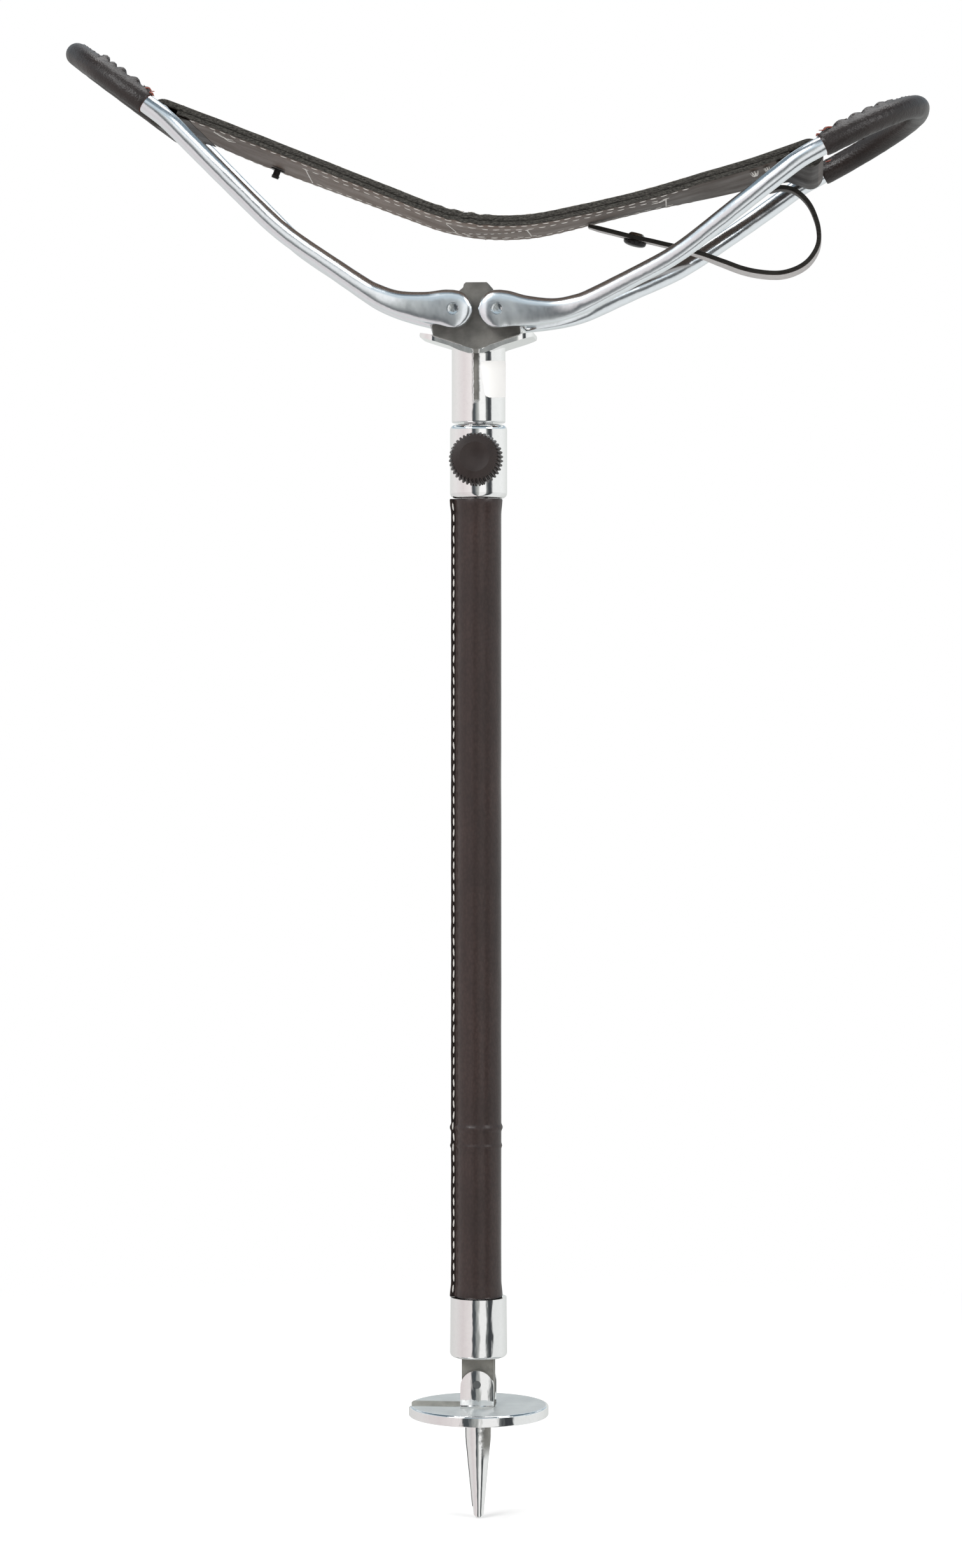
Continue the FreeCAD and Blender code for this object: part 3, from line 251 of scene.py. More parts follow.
def new_piece(name, points, faces, materials, chosen=None, sharp=38):
    """A mesh object from points in millimetres. chosen gives each face's material."""
    mesh = bpy.data.meshes.new(name)
    mesh.from_pydata([tuple(point * MM) for point in points], [], facing_out(points, faces))
    for material in materials:
        mesh.materials.append(material)
    if chosen:
        mesh.polygons.foreach_set("material_index", chosen)
    mesh.shade_smooth()
    mesh.set_sharp_from_angle(angle=math.radians(sharp))
    mesh.update()
    return put_in_scene(name, mesh)


def skin(rings, loop=False):
    """Points and faces over rings of equal length, closed by end caps or into a loop."""
    count = len(rings[0])
    points = [point for ring in rings for point in ring]
    faces = []
    spans = len(rings) if loop else len(rings) - 1
    for low in range(spans):
        high = (low + 1) % len(rings)
        for at in range(count):
            after = (at + 1) % count
            faces.append((low * count + at, low * count + after, high * count + after, high * count + at))
    if not loop:
        faces.append(tuple(reversed(range(count))))
        faces.append(tuple(range((len(rings) - 1) * count, len(rings) * count)))
    return points, faces


def turned(name, profile, centre, axis, material, steps=40):
    """A turned piece: profile holds (radius, height along the axis) from pole to pole."""
    side = axis.orthogonal().normalized()
    front = axis.cross(side)
    points = [centre + axis * profile[0][1]]
    for radius, high in profile[1:-1]:
        for step in range(steps):
            angle = 2 * math.pi * step / steps
            away = side * math.cos(angle) + front * math.sin(angle)
            points.append(centre + axis * high + away * radius)
    points.append(centre + axis * profile[-1][1])
    faces = []
    rows = len(profile) - 2
    last = 1 + (rows - 1) * steps
    for step in range(steps):
        after = (step + 1) % steps
        faces.append((0, 1 + after, 1 + step))
        faces.append((len(points) - 1, last + step, last + after))
        for row in range(rows - 1):
            base = 1 + row * steps
            faces.append((base + step, base + after, base + steps + after, base + steps + step))
    return new_piece(name, points, faces, [material])


def rounded_path(corners, bends, step=1.0):
    """Points along straight runs joined by arcs, at most a step apart."""
    corners = [Vector(corner) for corner in corners]
    path = [corners[0]]
    for before, corner, after, radius in zip(corners, corners[1:], corners[2:], bends):
        way_in = (corner - before).normalized()
        way_out = (after - corner).normalized()
        half = way_in.angle(way_out) / 2
        leg = radius * math.tan(half)
        centre = corner + (way_out - way_in).normalized() * (radius / math.cos(half))
        start = corner - way_in * leg
        path += run_to(path[-1], start, step)
        first = start - centre
        last = corner + way_out * leg - centre
        parts = max(3, int(2 * half * radius / step))
        for part in range(1, parts + 1):
            share = part / parts
            path.append(centre + (first * math.sin(2 * half * (1 - share))
                                  + last * math.sin(2 * half * share)) / math.sin(2 * half))
    path += run_to(path[-1], corners[-1], step)
    return path


def smooth_path(knots, parts=12):
    """An even curve through a few points."""
    ends = [knots[0] * 2 - knots[1]] + knots + [knots[-1] * 2 - knots[-2]]
    path = []
    for a, b, c, d in zip(ends, ends[1:], ends[2:], ends[3:]):
        for part in range(parts):
            t = part / parts
            path.append((b * 2 + (c - a) * t + (a * 2 - b * 5 + c * 4 - d) * t * t
                         + (b * 3 - a - c * 3 + d) * t * t * t) * 0.5)
    return path + [knots[-1]]


def run_to(start, end, step):
    """Points of a straight run, without its start."""
    parts = max(1, int((end - start).length / step))
    return [start.lerp(end, part / parts) for part in range(1, parts + 1)]


def spaced(path, count):
    """The path again as a fixed number of points, evenly spaced."""
    reached = [0.0]
    for first, second in zip(path, path[1:]):
        reached.append(reached[-1] + (second - first).length)
    result = []
    at = 0
    for index in range(count):
        goal = reached[-1] * index / (count - 1)
        while at < len(path) - 2 and reached[at + 1] < goal:
            at += 1
        run = reached[at + 1] - reached[at]
        result.append(path[at].lerp(path[at + 1], (goal - reached[at]) / run if run else 0))
    return result


def length_of(path):
    """Length of a path of points."""
    return sum((second - first).length for first, second in zip(path, path[1:]))


def directions(path):
    """The way that a path runs at each of its points."""
    last = len(path) - 1
    return [(path[min(at + 1, last)] - path[max(at - 1, 0)]).normalized() for at in range(last + 1)]


def fade(value, low, high):
    """0 below low, 1 above high, and smooth between."""
    share = min(max((value - low) / (high - low), 0), 1)
    return share * share * (3 - 2 * share)


def hump(distance, half_width):
    """1 in the middle of a smooth hump, and 0 beyond its half width."""
    return 0.5 + 0.5 * math.cos(math.pi * distance / half_width) if abs(distance) < half_width else 0.0


# Finishes

def new_surface(name, inputs):
    """A material, its node tree, its main shader and the piece's own coordinates."""
    material = bpy.data.materials.new(name)
    material.use_nodes = True
    tree = material.node_tree
    shader = tree.nodes["Principled BSDF"]
    connect(shader, inputs)
    return material, tree, shader, add_node(tree, "ShaderNodeTexCoord").outputs["Object"]


def own_coordinates(tree):
    """The coordinates that new_surface has put in a material."""
    return next(node for node in tree.nodes if node.type == "TEX_COORD").outputs["Object"]


def tone_of(value):
    """A colour property as red, green, blue and alpha."""
    return tuple(value) + (1.0,)


def shade(tone, share):
    """The same linear colour, darker or lighter."""
    return tuple(min(part * share, 1) for part in tone[:3]) + (1.0,)


def leather(name, tone, grain, roughness=0.52, depth=1.0, streak=1.0, variation=0.22, gloss=0.25,
            worn_middle=0.0):
    """Vegetable-tanned cowhide, dyed and waxed: pebbled grain, a soft wax sheen, darker hollows."""
    material, tree, shader, where = new_surface(name, {"IOR": 1.5, "Specular IOR Level": gloss})
    place = add_node(tree, "ShaderNodeMapping", {"Vector": where, "Scale": (1, 1, streak)})
    # Pebbles are drawn about twice their real 0.6 mm, because smaller ones don't show
    pebbles = add_node(tree, "ShaderNodeTexVoronoi", {"Vector": place, "Scale": 1 / grain,
                                                      "Smoothness": 0.6}, feature="SMOOTH_F1")
    pores = add_node(tree, "ShaderNodeTexNoise", {"Vector": place, "Scale": 1 / (0.5 * MM), "Detail": 3})
    patches = add_node(tree, "ShaderNodeTexNoise", {"Vector": place, "Scale": 1 / (24 * MM), "Detail": 4,
                                                    "Roughness": 0.6})
    handled = add_node(tree, "ShaderNodeMapRange", {0: patches, 1: 0.35, 2: 0.68})
    body = add_node(tree, "ShaderNodeMix", {0: handled, 6: shade(tone, 1 - variation),
                                            7: shade(tone, 1 + variation)}, data_type="RGBA")
    if worn_middle:
        # Painted light and shade: the sling is painted paler in its middle and darker towards the bars
        x = add_node(tree, "ShaderNodeSeparateXYZ", {0: where}).outputs["X"]
        left_half = add_node(tree, "ShaderNodeMapRange", {0: x, 1: -150 * MM, 2: -40 * MM, 3: 0.25},
                             interpolation_type="SMOOTHSTEP")
        right_half = add_node(tree, "ShaderNodeMapRange", {0: x, 1: 110 * MM, 2: 5 * MM},
                              interpolation_type="SMOOTHSTEP")
        middle = add_node(tree, "ShaderNodeMath", {0: left_half, 1: right_half}, operation="MINIMUM")
        painted_light_and_shade = add_node(tree, "ShaderNodeMix", {0: middle, 6: (0.62,) * 3 + (1,),
                                                7: (1 + worn_middle,) * 3 + (1,)}, data_type="RGBA")
        body = add_node(tree, "ShaderNodeMix", {0: 1.0, 6: body.outputs[2], 7: painted_light_and_shade.outputs[2]},
                        data_type="RGBA", blend_type="MULTIPLY")
    hollows = add_node(tree, "ShaderNodeMapRange", {0: pebbles, 1: 0.25, 2: 0.75, 4: 0.42})
    tint = add_node(tree, "ShaderNodeMix", {0: hollows, 6: body.outputs[2], 7: shade(tone, 0.45)},
                    data_type="RGBA")
    dull = add_node(tree, "ShaderNodeMapRange", {0: patches, 1: 0.3, 2: 0.7, 3: roughness + 0.09,
                                                 4: roughness - 0.09})
    grained = add_node(tree, "ShaderNodeBump", {"Height": pebbles, "Strength": 0.5 * depth,
                                                "Distance": 0.35 * MM}, invert=True)
    porous = add_node(tree, "ShaderNodeBump", {"Height": pores, "Normal": grained,
                                               "Strength": 0.3 * depth, "Distance": 0.15 * MM})
    connect(shader, {"Base Color": tint.outputs[2], "Roughness": dull, "Normal": porous})
    return material


def cut_leather(name, tone, pale, along=(0.12, 1, 1)):
    """A cut leather edge: packed fibres in short streaks along the cut, dull and thirsty."""
    material, tree, shader, where = new_surface(name, {"IOR": 1.45, "Roughness": 0.86,
                                                       "Specular IOR Level": 0.2})
    place = add_node(tree, "ShaderNodeMapping", {"Vector": where, "Scale": along})
    fibres = add_node(tree, "ShaderNodeTexNoise", {"Vector": place, "Scale": 1 / (0.6 * MM), "Detail": 4,
                                                   "Roughness": 0.75})
    spread = add_node(tree, "ShaderNodeMapRange", {0: fibres, 1: 0.4, 2: 0.72})
    tint = add_node(tree, "ShaderNodeMix", {0: spread, 6: tone, 7: pale}, data_type="RGBA")
    bump = add_node(tree, "ShaderNodeBump", {"Height": fibres, "Strength": 0.8, "Distance": 0.35 * MM})
    connect(shader, {"Base Color": tint.outputs[2], "Normal": bump})
    return material


def thread_surface(name, tone):
    """Waxed linen thread: two twisted strands, slightly furry, with dirt in the twist."""
    material, tree, shader, where = new_surface(name, {"Roughness": 0.62, "Sheen Weight": 0.25,
                                                       "Sheen Roughness": 0.5})
    twist = add_node(tree, "ShaderNodeTexWave", {"Vector": where, "Scale": 1 / (3.2 * MM),
                                                 "Distortion": 1.5}, bands_direction="DIAGONAL")
    dirt = add_node(tree, "ShaderNodeTexNoise", {"Vector": where, "Scale": 1 / (3 * MM), "Detail": 3})
    soil = add_node(tree, "ShaderNodeMapRange", {0: dirt, 1: 0.35, 2: 0.75, 4: 0.5})
    tint = add_node(tree, "ShaderNodeMix", {0: soil, 6: tone, 7: shade(tone, 0.55)}, data_type="RGBA")
    bump = add_node(tree, "ShaderNodeBump", {"Height": twist.outputs["Fac"], "Strength": 0.35,
                                             "Distance": 0.2 * MM})
    connect(shader, {"Base Color": tint.outputs[2], "Normal": bump})
    return material


def polished(name, tone, roughness=0.04, wave=9.0, depth=0.12, upright=1.0):
    """Sand-cast aluminium buffed by hand: mirror bright over a slightly wavy skin, with fine wipes."""
    material, tree, shader, where = new_surface(name, {"Metallic": 1.0})
    place = add_node(tree, "ShaderNodeMapping", {"Vector": where, "Scale": (1, 1, upright)})
    waves = add_node(tree, "ShaderNodeTexNoise", {"Vector": place, "Scale": 1 / (wave * MM),
                                                  "Detail": 2.5})
    wipes = add_node(tree, "ShaderNodeTexNoise", {"Vector": where, "Scale": 1 / (2.2 * MM), "Detail": 5,
                                                  "Roughness": 0.7})
    tarnish = add_node(tree, "ShaderNodeMapRange", {0: wipes, 1: 0.45, 2: 0.75, 4: 0.2})
    tint = add_node(tree, "ShaderNodeMix", {0: tarnish, 6: tone, 7: shade(tone, 0.8)}, data_type="RGBA")
    dull = add_node(tree, "ShaderNodeMapRange", {0: wipes, 1: 0.3, 2: 0.75, 3: roughness,
                                                 4: roughness + 0.07})
    wavy = add_node(tree, "ShaderNodeBump", {"Height": waves, "Strength": depth, "Distance": 1.2 * MM})
    connect(shader, {"Base Color": tint.outputs[2], "Roughness": dull, "Normal": wavy})
    return material


def half_polished(name, tone, cast_tone, mask, wave=9.0, depth=0.12, upright=1.0):
    """One casting, buffed where it shows and left as it came from the sand elsewhere."""
    material = polished(name, tone, wave=wave, depth=depth, upright=upright)
    tree = material.node_tree
    shader = tree.nodes["Principled BSDF"]
    where = own_coordinates(tree)
    bright, smooth, wavy = [shader.inputs[key].links[0].from_socket
                            for key in ("Base Color", "Roughness", "Normal")]
    cast_share = mask(tree, where)
    sand = add_node(tree, "ShaderNodeTexNoise", {"Vector": where, "Scale": 1 / (1.1 * MM), "Detail": 6,
                                                 "Roughness": 0.75})
    blotch = add_node(tree, "ShaderNodeTexNoise", {"Vector": where, "Scale": 1 / (9 * MM), "Detail": 4})
    spread = add_node(tree, "ShaderNodeMapRange", {0: blotch, 1: 0.32, 2: 0.68})
    sandy = add_node(tree, "ShaderNodeMix", {0: spread, 6: shade(cast_tone, 0.72),
                                             7: shade(cast_tone, 1.18)}, data_type="RGBA")
    tint = add_node(tree, "ShaderNodeMix", {0: cast_share, 6: bright, 7: sandy.outputs[2]},
                    data_type="RGBA")
    rough = add_node(tree, "ShaderNodeMix", {0: cast_share, 2: smooth, 3: 0.68}, data_type="FLOAT")
    metal = add_node(tree, "ShaderNodeMapRange", {0: cast_share, 3: 1.0, 4: 0.55})
    grit = add_node(tree, "ShaderNodeMath", {0: sand, 1: cast_share}, operation="MULTIPLY")
    bump = add_node(tree, "ShaderNodeBump", {"Height": grit, "Normal": wavy, "Strength": 0.55,
                                             "Distance": 0.5 * MM})
    connect(shader, {"Base Color": tint.outputs[2], "Roughness": rough, "Metallic": metal,
                     "Normal": bump})
    return material


def head_mask(tree, where):
    """Rough between the hubs, in a funnel below them and down the rib, on both faces."""
    parts = add_node(tree, "ShaderNodeSeparateXYZ", {0: where}).outputs
    edge = add_node(tree, "ShaderNodeTexNoise", {"Vector": where, "Scale": 1 / (3 * MM)})
    aside = add_node(tree, "ShaderNodeMath", {0: parts["X"]}, operation="ABSOLUTE")
    ragged = add_node(tree, "ShaderNodeMath", {0: edge, 1: 1.6 * MM, 2: aside},
                      operation="MULTIPLY_ADD")
    funnel = add_node(tree, "ShaderNodeMapRange", {0: parts["Z"], 1: 585.2 * MM, 2: 592.5 * MM,
                                                   3: 2.5 * MM, 4: 25 * MM})
    inside = add_node(tree, "ShaderNodeMath", {0: funnel, 1: ragged}, operation="SUBTRACT")
    across = add_node(tree, "ShaderNodeMapRange", {0: inside, 1: -0.4 * MM, 2: 0.5 * MM})
    above = add_node(tree, "ShaderNodeMapRange", {0: parts["Z"], 1: 555.5 * MM, 2: 558 * MM})
    return add_node(tree, "ShaderNodeMath", {0: across, 1: above}, operation="MULTIPLY")


def foot_mask(tree, where):
    """Rough on the tang and in one darker patch on the spike's right, below the buffed cup."""
    parts = add_node(tree, "ShaderNodeSeparateXYZ", {0: where}).outputs
    patchy = add_node(tree, "ShaderNodeTexNoise", {"Vector": where, "Scale": 1 / (6 * MM), "Detail": 3})
    tang = add_node(tree, "ShaderNodeMapRange", {0: parts["Z"], 1: 33.4 * MM, 2: 32.2 * MM})
    spike = add_node(tree, "ShaderNodeMapRange", {0: parts["Z"], 1: 1 * MM, 2: -1 * MM})
    ragged = add_node(tree, "ShaderNodeMath", {0: patchy, 1: 12 * MM, 2: parts["X"]},
                      operation="MULTIPLY_ADD")
    right = add_node(tree, "ShaderNodeMapRange", {0: ragged, 1: 7 * MM, 2: 9.5 * MM})
    high = add_node(tree, "ShaderNodeMapRange", {0: parts["Z"], 1: -24 * MM, 2: -16 * MM, 4: 0.9})
    dark_patch = add_node(tree, "ShaderNodeMath", {0: right, 1: high}, operation="MULTIPLY")
    share = add_node(tree, "ShaderNodeMix", {0: spike, 2: 1.0, 3: dark_patch}, data_type="FLOAT")
    return add_node(tree, "ShaderNodeMath", {0: tang, 1: share}, operation="MULTIPLY")


def plate_mask(tree, where):
    """The plate's upper face is blasted dull and its slot is rough; its rim and ears are buffed."""
    parts = add_node(tree, "ShaderNodeSeparateXYZ", {0: where}).outputs
    flat = add_node(tree, "ShaderNodeCombineXYZ", {0: parts["X"], 1: parts["Y"]})
    reach = add_node(tree, "ShaderNodeVectorMath", {0: flat}, operation="LENGTH").outputs["Value"]
    inside = add_node(tree, "ShaderNodeMapRange", {0: reach, 1: 37.4 * MM, 2: 36.6 * MM})
    low = add_node(tree, "ShaderNodeMapRange", {0: parts["Z"], 1: 7.6 * MM, 2: 6.6 * MM})
    aside = add_node(tree, "ShaderNodeMath", {0: parts["Y"]}, operation="ABSOLUTE")
    near = add_node(tree, "ShaderNodeMapRange", {0: aside, 1: 10.4 * MM, 2: 8.2 * MM})
    left = add_node(tree, "ShaderNodeMapRange", {0: parts["X"], 1: -8 * MM, 2: -12 * MM})
    slot = add_node(tree, "ShaderNodeMath", {0: near, 1: left}, operation="MULTIPLY")
    face = add_node(tree, "ShaderNodeMath", {0: inside, 1: low}, operation="MULTIPLY")
    blasted = add_node(tree, "ShaderNodeMath", {0: face, 1: 0.4}, operation="MULTIPLY")
    return add_node(tree, "ShaderNodeMath", {0: blasted, 1: slot}, operation="MAXIMUM")


def dome_ears(material):
    """Buffing has left the flat sides of the plate's ears slightly domed across."""
    tree = material.node_tree
    first = next(node for node in tree.nodes if node.type == "BUMP" and not node.inputs["Normal"].links)
    parts = add_node(tree, "ShaderNodeSeparateXYZ", {0: own_coordinates(tree)}).outputs
    square = add_node(tree, "ShaderNodeMath", {0: parts["X"], 1: parts["X"]}, operation="MULTIPLY")
    ear = add_node(tree, "ShaderNodeMapRange", {0: parts["Z"], 1: 6.6 * MM, 2: 7.4 * MM})
    across = add_node(tree, "ShaderNodeMath", {0: square, 1: -0.5 / (19 * MM)}, operation="MULTIPLY")
    height = add_node(tree, "ShaderNodeMath", {0: across, 1: ear}, operation="MULTIPLY")
    dome = add_node(tree, "ShaderNodeBump", {"Height": height, "Strength": 1.0, "Distance": 1.0})
    connect(first, {"Normal": dome})


def drawn_metal(name, tone, roughness):
    """Drawn or turned metal: fine lines from the die and the tool, under a satin shine."""
    material, tree, shader, where = new_surface(name, {"Metallic": 1.0})
    place = add_node(tree, "ShaderNodeMapping", {"Vector": where, "Scale": (1, 1, 0.04)})
    lines = add_node(tree, "ShaderNodeTexNoise", {"Vector": place, "Scale": 1 / (0.5 * MM), "Detail": 4})
    tint = add_node(tree, "ShaderNodeMix", {0: lines, 6: shade(tone, 0.82), 7: tone}, data_type="RGBA")
    rough = add_node(tree, "ShaderNodeMapRange", {0: lines, 3: roughness - 0.06, 4: roughness + 0.08})
    bump = add_node(tree, "ShaderNodeBump", {"Height": lines, "Strength": 0.08, "Distance": 0.1 * MM})
    connect(shader, {"Base Color": tint.outputs[2], "Roughness": rough, "Normal": bump})
    return material


def moulded_resin(name, tone, roughness=0.33):
    """Compression-moulded phenolic: smooth and dark, with a dusty bloom and fine handling marks."""
    material, tree, shader, where = new_surface(name, {"IOR": 1.55, "Specular IOR Level": 0.25})
    bloom = add_node(tree, "ShaderNodeTexNoise", {"Vector": where, "Scale": 1 / (7 * MM), "Detail": 5})
    marks = add_node(tree, "ShaderNodeTexNoise", {"Vector": where, "Scale": 1 / (0.6 * MM), "Detail": 4})
    tint = add_node(tree, "ShaderNodeMix", {0: bloom, 6: shade(tone, 0.75), 7: shade(tone, 1.3)},
                    data_type="RGBA")
    rough = add_node(tree, "ShaderNodeMapRange", {0: bloom, 1: 0.3, 2: 0.7, 3: roughness - 0.05,
                                                  4: roughness + 0.14})
    bump = add_node(tree, "ShaderNodeBump", {"Height": marks, "Strength": 0.12, "Distance": 0.1 * MM})
    connect(shader, {"Base Color": tint.outputs[2], "Roughness": rough, "Normal": bump})
    return material


def paper_label(name):
    """Coated paper with a faint laid tooth, and a painted glow: it emits a little white light to look
    brighter.
    """
    # Painted glow: a small white emission makes the label brighter than its lighting does
    material, tree, shader, where = new_surface(name, {"Roughness": 0.5, "IOR": 1.47,
                                                       "Specular IOR Level": 0.2,
                                                       "Emission Color": WHITE,
                                                       "Emission Strength": 0.12})
    tooth = add_node(tree, "ShaderNodeTexNoise", {"Vector": where, "Scale": 1 / (0.6 * MM), "Detail": 3})
    age = add_node(tree, "ShaderNodeTexNoise", {"Vector": where, "Scale": 1 / (11 * MM), "Detail": 2})
    tint = add_node(tree, "ShaderNodeMix", {0: age, 6: linear("#fbfaf8"), 7: linear("#f1efeb")},
                    data_type="RGBA")
    bump = add_node(tree, "ShaderNodeBump", {"Height": tooth, "Strength": 0.08, "Distance": 0.05 * MM})
    connect(shader, {"Base Color": tint.outputs[2], "Normal": bump})
    return material


finishes = {}


def finish_of(name, make, *values, **named):
    """The finish of that name, made on its first use."""
    if name not in finishes:
        finishes[name] = make(name, *values, **named)
    return finishes[name]


# Stitches

def stitch_rows():
    """Geometry nodes: a lens of thread at every pitch along each seam line, realised at the end."""
    tree = bpy.data.node_groups.get("saddle_stitches")
    if tree:
        return tree
    tree = bpy.data.node_groups.new("saddle_stitches", "GeometryNodeTree")
    for label, kind in (("Seam lines", "NodeSocketGeometry"), ("Pitch", "NodeSocketFloat"),
                        ("Stitch length", "NodeSocketFloat"), ("Thread width", "NodeSocketFloat"),
                        ("Unevenness", "NodeSocketFloat"), ("Seed", "NodeSocketInt"),
                        ("Thread", "NodeSocketMaterial")):
        tree.interface.new_socket(label, in_out="INPUT", socket_type=kind)
    tree.interface.new_socket("Stitches", in_out="OUTPUT", socket_type="NodeSocketGeometry")
    entry = add_node(tree, "NodeGroupInput").outputs
    seam = add_node(tree, "GeometryNodeMeshToCurve", {"Mesh": entry["Seam lines"]})
    holes = add_node(tree, "GeometryNodeResampleCurve", {"Curve": seam, "Length": entry["Pitch"]},
                     mode="LENGTH")
    along = add_node(tree, "GeometryNodeInputTangent")
    facing = add_node(tree, "FunctionNodeAlignRotationToVector", {"Vector": along}, axis="X")
    spread = add_node(tree, "ShaderNodeMath", {0: entry["Unevenness"], 1: -1.0}, operation="MULTIPLY")
    wobble = add_node(tree, "FunctionNodeRandomValue", {0: spread, 1: entry["Unevenness"],
                                                        "Seed": entry["Seed"]},
                      data_type="FLOAT_VECTOR")
    as_turn = add_node(tree, "FunctionNodeEulerToRotation", {0: wobble})
    turned_more = add_node(tree, "FunctionNodeRotateRotation", {0: facing, 1: as_turn},
                           rotation_space="LOCAL")
    size = add_node(tree, "ShaderNodeCombineXYZ", {0: entry["Stitch length"], 1: entry["Thread width"],
                                                   2: entry["Thread width"]})
    bead = add_node(tree, "GeometryNodeMeshUVSphere", {"Segments": 8, "Rings": 6, "Radius": 0.5})
    lens = add_node(tree, "GeometryNodeTransform", {"Geometry": bead, "Scale": size})
    rows = add_node(tree, "GeometryNodeInstanceOnPoints", {"Points": holes, "Instance": lens,
                                                           "Rotation": turned_more})
    single = add_node(tree, "GeometryNodeRealizeInstances", {"Geometry": rows})
    smooth = add_node(tree, "GeometryNodeSetShadeSmooth", {"Geometry": single})
    waxed = add_node(tree, "GeometryNodeSetMaterial", {"Geometry": smooth, "Material": entry["Thread"]})
    add_node(tree, "NodeGroupOutput", {"Stitches": waxed})
    return tree


def sewn(name, lines, looks, material, seed, unevenness=0.09, size=1.0):
    """One plain mesh of stitches along lines of points in millimetres."""
    points = [point * MM for line in lines for point in line]
    edges = []
    first = 0
    for line in lines:
        edges += [(at, at + 1) for at in range(first, first + len(line) - 1)]
        first += len(line)
    mesh = bpy.data.meshes.new(name + "_lines")
    mesh.from_pydata(points, edges, [])
    guide = put_in_scene(name + "_lines", mesh)
    tree = stitch_rows()
    modifier = guide.modifiers.new("stitches", "NODES")
    modifier.node_group = tree
    values = {"Pitch": looks.pitch, "Stitch length": looks.stitch * size,
              "Thread width": looks.thickness * size, "Unevenness": unevenness, "Seed": seed,
              "Thread": material}
    for socket in tree.interface.items_tree:
        if socket.name in values:
            modifier[socket.identifier] = values[socket.name]
    piece = made_plain(guide, name)
    if not piece.data.polygons:
        raise RuntimeError("%s has no stitches" % name)
    if not piece.data.materials:
        piece.data.materials.append(material)
    return piece


def thread_tube(points, radius, sides=6, count=18):
    """Rings of a thin thread along a few points, thinning at its end."""
    bend = length_of([Vector(point) for point in points]) / 14
    path = spaced(rounded_path(points, [bend] * (len(points) - 2), 0.3), count)
    rings = []
    for at, (point, way) in enumerate(zip(path, directions(path))):
        side = way.orthogonal().normalized()
        front = way.cross(side)
        reach = radius * (1 - 0.6 * (at / (count - 1)) ** 3)
        rings.append([point + (side * math.cos(angle) + front * math.sin(angle)) * reach
                      for angle in (2 * math.pi * step / sides for step in range(sides))])
    return skin(rings)


def join_tubes(name, tubes, material):
    """One piece of several closed tubes."""
    points, faces = [], []
    for tube_points, tube_faces in tubes:
        faces += [tuple(index + len(points) for index in face)
                  for face in facing_out(tube_points, tube_faces)]
        points += tube_points
    return new_piece(name, points, faces, [material], sharp=60)


# Sleeve round the stick

def sleeve_surface_radius(z):
    """Outside of the leather at one height: flared ends and two creases near the foot."""
    from_end = min(z - SLEEVE_LOW, SLEEVE_HIGH - z)
    flare = 0.7 * (1 - fade(from_end, 0, 9))
    return SLEEVE_RADIUS + flare + sum(high * hump(z - at, wide) for at, high, wide in SLEEVE_CREASES)


def sleeve_section():
    """Sideways and outward offsets of the sewn seam that stands out of the sleeve."""
    half = [(1.75, 0.35), (1.5, 1.1), (1.5, 2.1), (1.2, 2.6), (0.35, 2.7)]
    left = [(-aside, out) for aside, out in half]
    return [(-SEAM_FOOT, 0.0)] + left + [(0.0, 2.35)] + list(reversed(half)) + [(SEAM_FOOT, 0.0)]


def sleeve_heights():
    """Heights of the sleeve's rings, closer together at its creases and ends."""
    heights = [SLEEVE_LOW, SLEEVE_LOW + 0.5]
    z = SLEEVE_LOW + 2
    while z < SLEEVE_HIGH - 2:
        heights.append(z)
        z += 0.8 if 144 < z < 163 else 1.6 if min(z - SLEEVE_LOW, SLEEVE_HIGH - z) < 12 else 4.0
    return heights + [SLEEVE_HIGH - 0.5, SLEEVE_HIGH]


